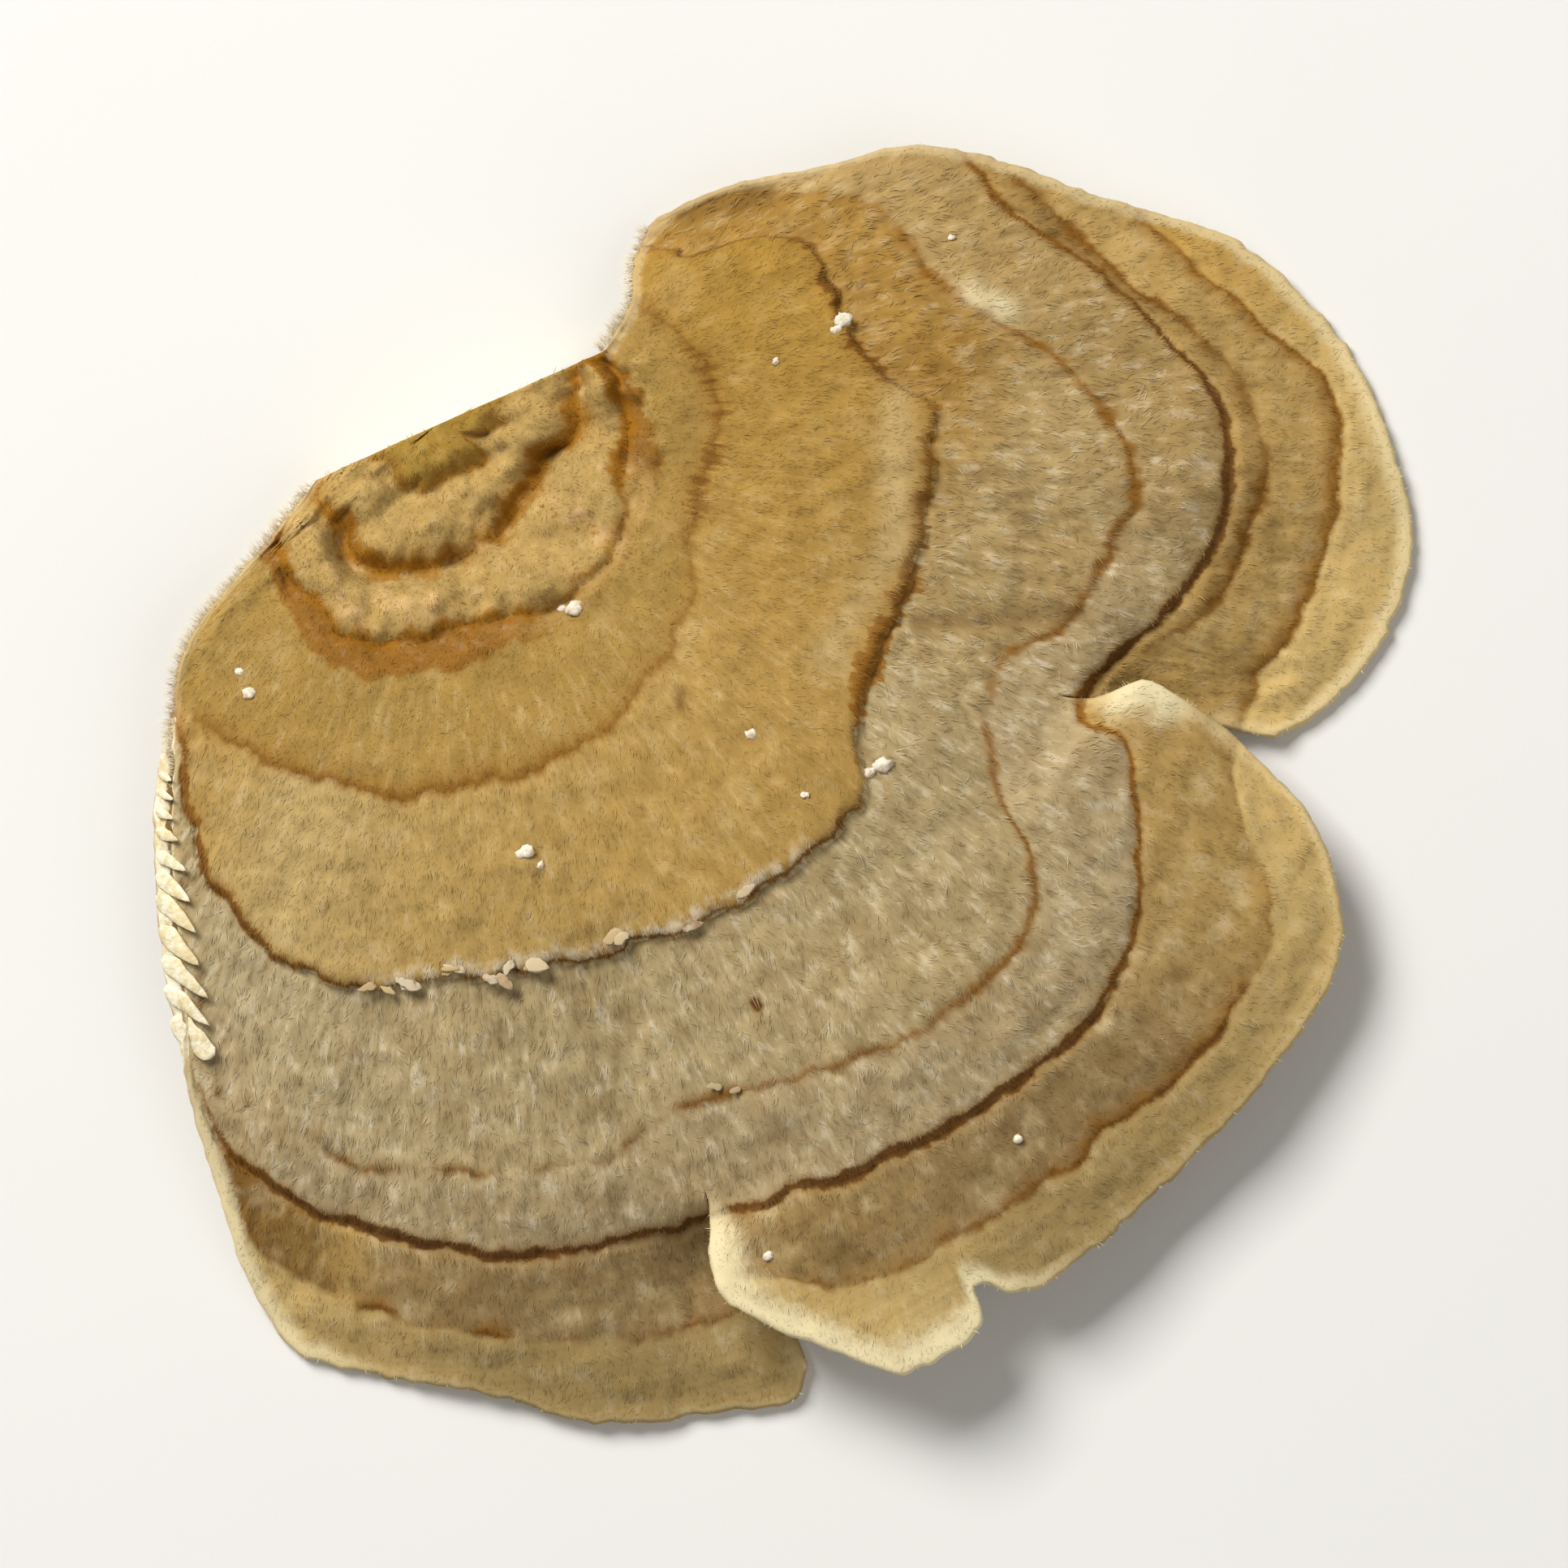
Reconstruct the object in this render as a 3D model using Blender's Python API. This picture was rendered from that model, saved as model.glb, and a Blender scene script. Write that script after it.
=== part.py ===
"""One dried turkey tail bracket: a thin, zoned cap of three lobes, cut off flat where it grew.

The cap is drawn on a fan of rays from its growth centre, which lies on the cut. A bearing is an
angle in degrees, clockwise seen from above; the cap grows towards GROWTH_BEARING, which is +Y.
Across the cap run growth lines, numbered by stage: 0 at the centre, 8 at a full-grown margin.
The middle lobe is split from its neighbours by two slits, and its corners lie over them.
Lengths are in millimetres until the last step, which works in metres.
"""

import bmesh
import bpy
import numpy as np

MM = 0.001

# Driving sizes
CUT_THICKNESS = 2.4
MARGIN_THICKNESS = 0.55
CUT_REACH_RIGHT = 5.8
LEDGE_DROP = 0.32
TORN_SLANT = 1.2

CAP_COLOUR = (0.40, 0.27, 0.12, 1.0)
CAP_ROUGHNESS = 0.85

# Bearings of the fan
GROWTH_BEARING = 66.0
RIGHT_CUT_BEARING = GROWTH_BEARING - 90.0
LEFT_CUT_BEARING = GROWTH_BEARING + 90.0
EAR_TIP_BEARING = -42.7
RIGHT_SLIT_BEARING = 23.4
LEFT_SLIT_BEARING = 70.6

# Margins of the three lobes: bearing, distance from the growth centre
RIGHT_MARGIN = (
    (-42.7, 9.75), (-39.2, 11.9), (-33.3, 15.0), (-30.5, 17.4), (-26.4, 19.3), (-21.3, 21.2),
    (-17.2, 23.3), (-12.6, 26.3), (-8.4, 27.9), (-3.0, 29.6), (2.9, 30.7), (7.5, 31.3),
    (12.3, 30.9), (17.3, 29.7), (20.1, 28.5),
)
MIDDLE_MARGIN = (
    (22.9, 28.8), (23.9, 30.1), (27.0, 32.0), (29.7, 33.1), (33.0, 33.5), (40.0, 33.4),
    (48.0, 33.3), (53.0, 33.4), (56.2, 33.1), (57.2, 32.3), (58.0, 32.2), (58.8, 33.4),
    (61.0, 33.5), (63.2, 33.5), (65.0, 32.8), (66.8, 31.7), (69.0, 30.6), (71.2, 29.4),
)
LEFT_MARGIN = (
    (68.6, 32.2), (70.0, 33.0), (74.0, 32.6), (80.7, 32.1), (86.8, 30.8), (92.0, 30.3),
    (97.8, 29.9), (101.6, 28.2), (105.7, 25.3), (110.0, 22.7), (116.0, 19.7), (119.8, 17.9),
    (123.6, 16.3), (128.0, 14.6), (133.0, 12.3), (139.0, 10.2), (142.5, 7.8), (145.5, 6.3),
    (152.0, 4.8), (156.0, 4.3),
)
# The free back edge of the right lobe's ear, from the cut to the ear's tip
EAR_BACK = ((-42.7, 9.3), (-39.5, 8.3), (-31.8, 7.4), (-24.0, CUT_REACH_RIGHT))

# Where each lobe's side runs beyond a slit's tip: distance from the centre, bearing
RIGHT_LOBE_SIDE = (
    (21.6, 23.4), (22.4, 22.5), (23.1, 21.9), (24.2, 21.3), (26.0, 20.8), (28.5, 20.1),
)
MIDDLE_RIGHT_SIDE = (
    (21.6, 23.4), (22.4, 23.1), (23.1, 21.8), (24.0, 19.9), (25.0, 20.3), (26.5, 21.1), (28.8, 22.9),
)
MIDDLE_LEFT_SIDE = (
    (25.7, 70.6), (26.2, 70.5), (26.9, 70.8), (27.7, 71.4), (28.5, 71.6), (29.4, 71.2),
)
LEFT_LOBE_SIDE = (
    (25.7, 70.6), (26.2, 70.8), (26.9, 70.7), (27.7, 70.3), (29.4, 69.4), (30.8, 68.8), (32.2, 68.6),
)

# Growth lines by stage: bearing, distance from the centre
GROWTH_LINES = {
    1.0: ((-24.0, 2.3), (15.0, 1.6), (76.0, 1.7), (95.0, 2.1), (120.0, 2.3), (156.0, 2.2)),
    2.0: (
        (-24.0, 4.9), (1.3, 4.4), (14.0, 3.7), (40.0, 3.4), (66.0, 3.9), (84.8, 4.4), (102.5, 4.6),
        (118.0, 4.9), (135.0, 4.4), (156.0, 4.1),
    ),
    3.0: (
        (-24.0, 5.4), (-9.9, 6.2), (19.8, 6.5), (56.5, 6.7), (69.5, 6.3), (84.6, 6.4), (100.0, 6.9),
        (112.0, 7.2), (127.0, 6.6), (144.8, 6.2), (156.0, 6.0),
    ),
    3.5: (
        (-24.0, CUT_REACH_RIGHT), (8.0, 7.0), (56.0, 7.4), (72.0, 7.2), (86.0, 7.6), (101.0, 8.0),
        (112.0, 8.2), (125.0, 7.7), (141.5, 6.9), (156.0, 6.6),
    ),
    4.0: (
        (-42.0, 7.9), (-31.0, 7.6), (-21.0, 8.1), (-6.0, 8.95), (4.0, 8.9), (21.0, 8.7), (33.0, 9.8),
        (49.0, 10.5), (65.0, 11.1), (82.0, 11.5), (95.0, 11.75), (114.0, 11.8), (130.0, 11.9),
        (156.0, 11.0),
    ),
    5.0: (
        (-42.0, 8.6), (-33.5, 9.8), (-30.6, 11.6), (-26.0, 13.0), (-14.0, 13.4), (-7.0, 14.1),
        (-1.5, 15.6), (16.0, 15.8), (29.0, 15.6), (37.0, 16.7), (42.0, 18.0), (59.0, 17.9),
        (75.0, 17.4), (88.0, 17.5), (99.0, 17.9), (107.5, 17.3), (114.0, 16.4), (122.0, 14.6),
        (130.0, 12.6), (141.0, 11.6), (156.0, 11.4),
    ),
    5.5: (
        (-42.0, 11.0), (-33.0, 13.6), (-24.3, 15.9), (-16.8, 16.4), (-11.6, 17.6), (-5.7, 20.0),
        (4.7, 22.2), (11.7, 21.6), (17.6, 20.9), (22.8, 19.3), (27.0, 19.7), (33.2, 21.4),
        (36.6, 23.7), (42.6, 24.8), (58.0, 23.9), (68.5, 22.9), (77.1, 23.7), (94.4, 23.6),
        (105.0, 21.6), (113.0, 18.9), (124.0, 15.8), (156.0, 13.0),
    ),
    6.0: (
        (-42.0, 14.0), (-30.0, 18.6), (-21.0, 19.5), (-14.8, 21.1), (-6.7, 23.3), (-0.5, 25.0),
        (5.1, 25.2), (13.7, 24.1), (18.0, 23.2), (24.0, 22.3), (28.8, 25.1), (32.7, 26.5),
        (36.9, 27.5), (43.1, 27.9), (50.6, 27.6), (60.5, 27.0), (66.2, 26.7), (76.3, 26.6),
        (88.7, 26.1), (97.3, 25.3), (105.4, 24.1), (112.0, 21.4), (124.0, 17.0), (156.0, 14.0),
    ),
    7.0: (
        (-42.0, 17.0), (-30.0, 20.8), (-16.3, 23.5), (-6.7, 26.5), (-2.4, 28.5), (3.2, 28.8),
        (9.9, 28.4), (19.1, 27.3), (24.3, 27.4), (28.4, 29.6), (32.2, 31.2), (37.8, 31.4),
        (45.1, 30.9), (60.0, 30.4), (64.9, 29.9), (68.6, 28.8), (73.0, 29.8), (83.9, 29.1),
        (94.7, 28.1), (101.3, 27.0), (106.0, 24.9), (112.0, 22.4), (124.0, 18.0), (156.0, 15.0),
    ),
}

# Middle height of the cap above its rest along a lobe, by distance from the centre
CROWN = (
    (0.0, 1.2), (3.0, 1.1), (7.0, 2.0), (12.0, 3.6), (18.0, 4.6), (23.0, 4.6), (28.0, 3.9),
    (34.0, 3.0),
)
# How far the margin falls below that, by bearing
MARGIN_FALL = (
    (-43.0, 2.0), (-30.0, 3.0), (-15.0, 3.4), (2.0, 3.4), (9.0, 3.3), (16.0, 2.8), (24.0, 1.4),
    (34.0, 0.9), (48.0, 0.7), (62.0, 0.7), (72.0, 1.8), (84.0, 2.9), (97.0, 3.4), (108.0, 3.0),
    (125.0, 2.3), (140.0, 1.2), (148.0, 0.4), (156.0, 0.0),
)
# The share of the reach at which the fall starts, and the longest reach it counts with
FALL_STARTS = 0.3
FULL_REACH = 31.0
# Valleys that run in from the slits: bearing, depth, half width in degrees
PLEATS = ((RIGHT_SLIT_BEARING, 1.0, 8.0), (LEFT_SLIT_BEARING, 0.7, 7.0))
PLEATS_START, PLEATS_GROW_OVER = 10.0, 12.0
# Radial folds: waves to a radian of bearing, height, phase
FOLDS = ((13.0, 0.16, 0.8), (29.0, 0.10, 0.0))
FOLDS_START, FOLDS_GROW_OVER = 8.0, 16.0
# Low lumps around the centre: height, waves to a radian of bearing, waves to a millimetre outwards
LUMP_HEIGHT, LUMP_TURNS, LUMP_WAVES = 0.10, 9.0, 2.0
# How much of them there is, by distance from the centre
LUMPS = ((0.0, 0.0), (1.0, 0.0), (3.0, 0.5), (5.0, 1.0), (7.0, 1.0), (8.5, 0.5), (10.0, 0.0))

THICKNESS = ((0.0, CUT_THICKNESS), (4.0, 2.1), (9.0, 1.6), (16.0, 1.3), (26.0, 1.0), (34.0, 0.8))
RIM_WIDTH = 1.6
# How far beyond a slit's tip the sides have thinned, and have reached their full lift
SIDE_THIN_LENGTH = 1.2
SIDE_RISE_LENGTH = 2.2
# The relief fades out over this last distance before the margin
RELIEF_FADE = 0.9
# The torn stretch of the left edge: where it begins and ends, and over how many degrees
TORN_FROM, TORN_FROM_OVER = 109.0, 6.0
TORN_TO, TORN_TO_OVER = 126.0, 9.0
# The upturned rim of the middle lobe's left end: where it starts, over how many degrees, its size
CURL_BEARING, CURL_OVER = 55.0, 6.0
CURL_WIDTH, CURL_HEIGHT = 2.8, 0.8
# The pit behind that rim: its bearing and distance, half its width in degrees and millimetres, depth
PIT_BEARING, PIT_DISTANCE = 64.1, 29.8
PIT_HALF_DEGREES, PIT_HALF_WIDTH, PIT_DEPTH = 2.2, 0.9, 0.35

# Ridges and furrows of the upper side, by stage
RELIEF = (
    (0.0, 0.20), (0.6, 0.15), (1.0, -0.18), (1.5, 0.22), (2.0, -0.14), (2.5, 0.26), (3.0, 0.05),
    (3.25, -0.20), (3.5, 0.0), (4.0, 0.0), (4.5, 0.05), (4.94, 0.12), (5.06, 0.12 - LEDGE_DROP),
    (5.5, -0.02), (5.85, 0.05), (6.0, -0.15), (6.15, 0.03), (6.5, 0.05), (7.0, -0.08), (7.5, 0.02),
    (8.0, 0.0),
)

# Rows of the two sides' grids, by stage. The slits begin at the stage SLIT_STAGE.
SLIT_STAGE = 5.85
FAN_STAGE = 3.5
UPPER_STAGES = (
    0.0, 0.5, 1.0, 1.5, 2.0, 2.5, 3.0, 3.25, 3.5, 4.0, 4.5, 4.94, 5.06, 5.5, 5.85, 6.0, 6.15, 6.5,
    7.0, 7.5, 8.0,
)
LOWER_STAGES = (0.0, 1.0, 2.0, 3.5, 4.5, 5.5, 5.85, 6.0, 6.15, 6.5, 7.0, 7.5, 8.0)
# Rays: distance between their ends, degrees between those of the ear, and every how many is drawn
# inside the stage FAN_STAGE
COLUMN_SPACING = 0.72
EAR_SPACING = 1.7
FAN_STEP = 3
# The least distance between the lines of a ray, as a share of their even spacing
LEAST_SHARE = 0.35
# How far past its last growth line the margin of a full-grown ray lies
FULL_GROWN = 1.2
# Share of a side's reach over which its lift dies away
LIFT_SHARE = 0.62


def curve(points, at):
    """Values at the places given, on a smooth curve through the points that never overshoots them."""
    x, y = np.array(points, float).T
    step = np.diff(x)
    slope = np.diff(y) / step
    product = slope[:-1] * slope[1:]
    mean = np.where(product > 0, 2 * product / np.where(product > 0, slope[:-1] + slope[1:], 1), 0)
    tangent = np.concatenate([slope[:1], mean, slope[-1:]])
    i = np.clip(np.searchsorted(x, at, side="right") - 1, 0, len(step) - 1)
    t = np.clip((at - x[i]) / step[i], 0, 1)
    start = (1 + 2 * t) * (1 - t) ** 2 * y[i] + t * (1 - t) ** 2 * step[i] * tangent[i]
    end = t**2 * (3 - 2 * t) * y[i + 1] + t**2 * (t - 1) * step[i] * tangent[i + 1]
    return start + end


def ease(t):
    """A rise from 0 to 1 that starts and ends level."""
    t = np.clip(t, 0, 1)
    return t * t * (3 - 2 * t)


class Lobe:
    """One lobe: its margin, the bearings it covers, and what its sides do beyond the slits.

    A side is (bearing at the slit, course beyond the tip, degrees over which the shift dies away,
    lift of the side above the fan). A curled lobe has the upturned rim and the pit.
    """

    def __init__(self, margin, first, last, sides, curled=False):
        self.margin = margin
        self.first = first
        self.last = last
        self.sides = sides
        self.curled = curled

    def bearing(self, base, distance):
        """The true bearing of the ray named base at a distance from the centre."""
        true = base + 0 * distance
        for slit, course, spread, _ in self.sides:
            shift = curve(course, distance) - slit
            true = true + shift * (1 - ease(np.abs(base - slit) / spread))
        return true

    def outline(self, base):
        """How far each ray runs: the distance of the margin at the ray's true end."""
        end = base + 0.0
        for slit, course, spread, _ in self.sides:
            end = end + (course[-1][1] - slit) * (1 - ease(np.abs(base - slit) / spread))
        return curve(self.margin, end)

    def lift(self, base, distance):
        """How far the lobe's sides rise above the fan, or sink below it, beyond a slit's tip."""
        rise = 0 * distance
        for slit, course, spread, height in self.sides:
            beyond = ease((distance - course[0][0]) / SIDE_RISE_LENGTH)
            rise = rise + height * beyond * np.exp(-(((base - slit) / (LIFT_SHARE * spread)) ** 2))
        if self.curled:
            near_rim = ease(1 - (self.outline(base) - distance) / CURL_WIDTH)
            rise = rise + CURL_HEIGHT * near_rim * ease((base - CURL_BEARING) / CURL_OVER)
        return rise

    def pit(self, base, distance):
        """Depth of the pit behind the upturned rim."""
        if not self.curled:
            return 0 * distance
        across = (base - PIT_BEARING) / PIT_HALF_DEGREES
        along = (distance - PIT_DISTANCE) / PIT_HALF_WIDTH
        return PIT_DEPTH * np.exp(-(across**2) - along**2)

    def side_edge(self, base, distance):
        """1 on the lobe's free sides beyond the slits' tips, falling to 0 a little way inside them."""
        edge = 0 * distance
        for slit, course, _, _ in self.sides:
            beyond = ease((distance - course[0][0]) / SIDE_THIN_LENGTH)
            inside = distance * np.radians(np.abs(base - slit))
            edge = np.maximum(edge, beyond * (1 - ease(inside / RIM_WIDTH)))
        return edge

    def columns(self):
        """Bearings of the rays, so spaced that their ends lie evenly along the margin."""
        fine = np.linspace(self.first, self.last, 50 * len(self.margin))
        x, y = place(self.bearing(fine, self.outline(fine)), self.outline(fine))
        length = np.concatenate([[0], np.cumsum(np.hypot(np.diff(x), np.diff(y)))])
        count = FAN_STEP * round(length[-1] / COLUMN_SPACING / FAN_STEP)
        return np.interp(np.linspace(0, length[-1], count + 1), length, fine)


def place(bearing, distance):
    """X and Y of a point, from its bearing and its distance from the growth centre."""
    angle = np.radians(bearing - GROWTH_BEARING)
    return distance * np.sin(angle), distance * np.cos(angle)


def stage_distances(base, outline, stages):
    """Distance of each stage along each ray. Lines that a ray doesn't reach are packed near its end.

    A ray of the ear starts on its free back edge, at FAN_STAGE; the others start at the centre.
    """
    in_ear = base < RIGHT_CUT_BEARING
    first_stage = np.where(in_ear, FAN_STAGE, 0.0)
    inner = np.where(in_ear, curve(EAR_BACK, base), 0.0)
    packed = LEAST_SHARE * (outline - inner) / (8 - first_stage)
    knots = np.array([0.0] + sorted(GROWTH_LINES) + [8.0])
    lines = [inner] + [curve(GROWTH_LINES[stage], base) for stage in knots[1:-1]] + [outline]
    lines = np.array(lines)
    for k, stage in enumerate(knots):
        lowest = inner + np.maximum(stage - first_stage, 0) * packed
        lines[k] = np.clip(lines[k], lowest, outline - (8 - stage) * packed)
        lines[k] = np.where(stage <= first_stage, inner, lines[k])
    return np.array([np.interp(stages, knots, lines[:, j]) for j in range(len(base))])


def true_stage(base, distance, outline):
    """The growth stage of points at these distances along each ray, 8 on a margin that is full grown."""
    knots = np.array([0.0] + sorted(GROWTH_LINES) + [8.0])
    lines = [0 * base] + [curve(GROWTH_LINES[stage], base) for stage in knots[1:-1]]
    lines.append(np.maximum(outline, lines[-1] + FULL_GROWN))
    lines = np.array(lines)
    return np.array([np.interp(distance[j], lines[:, j], knots) for j in range(len(base))])


def reach(base):
    """How far the whole fan reaches on each bearing, whichever lobe lies there."""
    right = curve(RIGHT_MARGIN, np.minimum(base, 7.5))
    left = curve(LEFT_MARGIN, np.maximum(base, 84.0))
    return np.minimum(np.minimum(right, left), FULL_REACH)


def middle_height(lobe, base, distance):
    """Height of the cap's middle surface: a low crown, falling margins, pleats and the slits' lift."""
    height = curve(CROWN, distance)
    share = distance / reach(base)
    fall = curve(MARGIN_FALL, base)
    height = height - fall * ease((share - FALL_STARTS) / (1 - FALL_STARTS)) ** 1.2
    for bearing, depth, width in PLEATS:
        grown = ease((distance - PLEATS_START) / PLEATS_GROW_OVER)
        height = height - depth * grown * np.exp(-(((base - bearing) / width) ** 2))
    for waves, fold_height, phase in FOLDS:
        grown = ease((distance - FOLDS_START) / FOLDS_GROW_OVER)
        height = height + fold_height * grown * np.sin(np.radians(base) * waves + phase)
    return height + lobe.lift(base, distance)


def torn(base):
    """1 along the stretch of the left edge that is torn open, 0 elsewhere."""
    begun = ease((base - TORN_FROM) / TORN_FROM_OVER)
    return begun * (1 - ease((base - TORN_TO) / TORN_TO_OVER))


def thickness_at(lobe, base, distance, outline):
    """Thickness of the cap: thinner outwards, and thin at the margins and the ear's back edge."""
    full = curve(THICKNESS, distance)
    back_bearing = curve([(far, bearing) for bearing, far in reversed(EAR_BACK)], distance)
    to_back = distance * np.radians(base - back_bearing)
    past_cut = ease(distance - CUT_REACH_RIGHT + 0.5)
    free_back = past_cut * (1 - ease(to_back / RIM_WIDTH))
    whole = np.maximum(ease((outline - distance) / RIM_WIDTH), torn(base))
    whole = whole * (1 - free_back) * (1 - lobe.side_edge(base, distance))
    return MARGIN_THICKNESS + (full - MARGIN_THICKNESS) * whole


def sheet(lobe, base, stages, upper):
    """Points of a lobe's upper or lower side, one row of points to a ray."""
    outline = lobe.outline(base)
    # the torn stretch slants, so that the upper side ends further in than the lower one
    end = outline - (TORN_SLANT * torn(base) if upper else 0.0)
    distance = stage_distances(base, end, stages)
    stage = true_stage(base, distance, outline)
    ray = np.repeat(base[:, None], len(stages), axis=1)
    rim = outline[:, None]
    thickness = thickness_at(lobe, ray, distance, rim)
    middle = np.maximum(middle_height(lobe, ray, distance), thickness / 2)
    lumps = LUMP_HEIGHT * np.sin(np.radians(ray) * LUMP_TURNS + LUMP_WAVES * distance)
    lumps = lumps * curve(LUMPS, distance)
    carved = (curve(RELIEF, stage) + lumps) * ease((end[:, None] - distance) / RELIEF_FADE)
    carved = carved - lobe.pit(ray, distance)
    height = middle + thickness / 2 + carved if upper else middle - thickness / 2
    x, y = place(lobe.bearing(ray, distance), distance)
    on_cut = (ray == RIGHT_CUT_BEARING) | (ray == LEFT_CUT_BEARING)
    return np.stack([x, np.where(on_cut, 0.0, y), height], axis=-1)


RIGHT = Lobe(
    RIGHT_MARGIN, RIGHT_CUT_BEARING, RIGHT_SLIT_BEARING,
    [(RIGHT_SLIT_BEARING, RIGHT_LOBE_SIDE, 10.0, -0.8)],
)
MIDDLE = Lobe(
    MIDDLE_MARGIN, RIGHT_SLIT_BEARING, LEFT_SLIT_BEARING,
    [
        (RIGHT_SLIT_BEARING, MIDDLE_RIGHT_SIDE, 9.0, 1.0),
        (LEFT_SLIT_BEARING, MIDDLE_LEFT_SIDE, 9.0, 1.2),
    ],
    curled=True,
)
LEFT = Lobe(
    LEFT_MARGIN, LEFT_SLIT_BEARING, LEFT_CUT_BEARING,
    [(LEFT_SLIT_BEARING, LEFT_LOBE_SIDE, 10.0, -0.9)],
)


class Builder:
    """Collects the cap's points and faces, using one corner where points coincide."""

    def __init__(self):
        self.mesh = bmesh.new()
        self.corners = {}

    def corner(self, point):
        """The corner at a point, made the first time it is asked for."""
        key = tuple(round(float(value), 5) for value in point)
        if key not in self.corners:
            self.corners[key] = self.mesh.verts.new([value * MM for value in key])
        return self.corners[key]

    def face(self, points):
        """A face through the points in turn, without those that repeat."""
        corners = []
        for point in points:
            corner = self.corner(point)
            if corner not in corners:
                corners.append(corner)
        if len(corners) > 2:
            self.mesh.faces.new(corners)

    def grid(self, points, first_row, upper):
        """Faces between neighbouring rays, from first_row out to the margin."""
        turn = 1 if upper else -1
        for j in range(len(points) - 1):
            for i in range(first_row, points.shape[1] - 1):
                quad = [points[j, i], points[j, i + 1], points[j + 1, i + 1], points[j + 1, i]]
                self.face(quad[::turn])

    def fan(self, points, last_row, upper):
        """Faces from the centre out to last_row, between every FAN_STEP-th ray and the next."""
        turn = 1 if upper else -1
        for j in range(0, len(points) - 1, FAN_STEP):
            k = j + FAN_STEP
            for i in range(last_row - 1):
                quad = [points[j, i], points[j, i + 1], points[k, i + 1], points[k, i]]
                self.face(quad[::turn])
            outer = [points[n, last_row] for n in range(j, k + 1)]
            self.face(([points[j, last_row - 1]] + outer + [points[k, last_row - 1]])[::turn])

    def wall(self, above, below):
        """A strip between an upper and a lower line of points, seen from outside left to right."""
        i = j = 0
        while i < len(above) - 1 or j < len(below) - 1:
            step_above = (i + 1) / max(len(above) - 1, 1)
            step_below = (j + 1) / max(len(below) - 1, 1)
            if j == len(below) - 1 or (i < len(above) - 1 and step_above <= step_below):
                self.face([above[i], below[j], above[i + 1]])
                i += 1
            else:
                self.face([above[i], below[j], below[j + 1]])
                j += 1


def build_bracket():
    """The whole cap as one closed solid, its cut on the plane y = 0 before it is centred."""
    builder = Builder()
    slit_above = UPPER_STAGES.index(SLIT_STAGE)
    slit_below = LOWER_STAGES.index(SLIT_STAGE)
    fan_above = UPPER_STAGES.index(FAN_STAGE)
    fan_below = LOWER_STAGES.index(FAN_STAGE)
    sides = []
    for lobe in (RIGHT, MIDDLE, LEFT):
        base = lobe.columns()
        above = sheet(lobe, base, UPPER_STAGES, True)
        below = sheet(lobe, base, LOWER_STAGES, False)
        builder.fan(above, fan_above, True)
        builder.fan(below, fan_below, False)
        builder.grid(above, fan_above, True)
        builder.grid(below, fan_below, False)
        builder.wall(above[::-1, -1], below[::-1, -1])
        sides.append((above, below))
    for (above, below), (next_above, next_below) in zip(sides, sides[1:]):
        builder.wall(above[-1, slit_above:][::-1], below[-1, slit_below:][::-1])
        builder.wall(next_above[0, slit_above:], next_below[0, slit_below:])

    # the ear, whose rays end on the right lobe's first ray
    count = round((RIGHT_CUT_BEARING - EAR_TIP_BEARING) / EAR_SPACING)
    base = np.linspace(EAR_TIP_BEARING, RIGHT_CUT_BEARING, count + 1)
    above = sheet(RIGHT, base, UPPER_STAGES, True)
    below = sheet(RIGHT, base, LOWER_STAGES, False)
    above[-1] = sides[0][0][0]
    below[-1] = sides[0][1][0]
    builder.grid(above, fan_above, True)
    builder.grid(below, fan_below, False)
    builder.wall(above[::-1, -1], below[::-1, -1])
    builder.wall(above[:, fan_above], below[:, fan_below])
    builder.wall(above[0, fan_above:], below[0, fan_below:])

    # the flat cut, one face from the ear to the left margin
    right_above, right_below = sides[0]
    left_above, left_below = sides[2]
    top = list(right_above[0, : fan_above + 1][::-1]) + list(left_above[-1])
    bottom = list(right_below[0, : fan_below + 1][::-1]) + list(left_below[-1])
    builder.face(bottom + top[::-1])
    bmesh.ops.recalc_face_normals(builder.mesh, faces=builder.mesh.faces)
    return builder.mesh


def main():
    """Clears the scene and makes the bracket."""
    for thing in list(bpy.data.objects):
        bpy.data.objects.remove(thing)
    mesh = build_bracket()
    points = np.array([corner.co for corner in mesh.verts])
    low, high = points.min(axis=0), points.max(axis=0)
    offset = [(low[0] + high[0]) / 2, (low[1] + high[1]) / 2, low[2]]
    for corner in mesh.verts:
        corner.co = [value - shift for value, shift in zip(corner.co, offset)]
    data = bpy.data.meshes.new("bracket")
    mesh.to_mesh(data)
    mesh.free()
    bracket = bpy.data.objects.new("bracket", data)
    bpy.context.scene.collection.objects.link(bracket)
    data.materials.append(cap_material())


def cap_material():
    """Dry, matt tan felt."""
    material = bpy.data.materials.new("cap")
    material.use_nodes = True
    shader = material.node_tree.nodes["Principled BSDF"]
    shader.inputs["Base Color"].default_value = CAP_COLOUR
    shader.inputs["Roughness"].default_value = CAP_ROUGHNESS
    shader.inputs["Metallic"].default_value = 0.0
    return material


main()
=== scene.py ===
"""The looks of a dried turkey tail bracket: felt and growth lines, pores, torn and cut flesh.

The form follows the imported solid. Rays leave the growth centre, which lies on the cut, and growth
lines cross them. A bearing is an angle in degrees, clockwise seen from above, and a stage counts
the growth lines, from 0 at the centre to 8 at a full-grown margin. Shapes are worked out in
millimetres about the growth centre, and are put into the frame, in metres, when they are made.
"""

import logging
from dataclasses import dataclass, field
from enum import Enum
from typing import Sequence, Union

import bmesh
import bpy
import numpy as np
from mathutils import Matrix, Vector
from numpy.typing import NDArray


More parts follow.
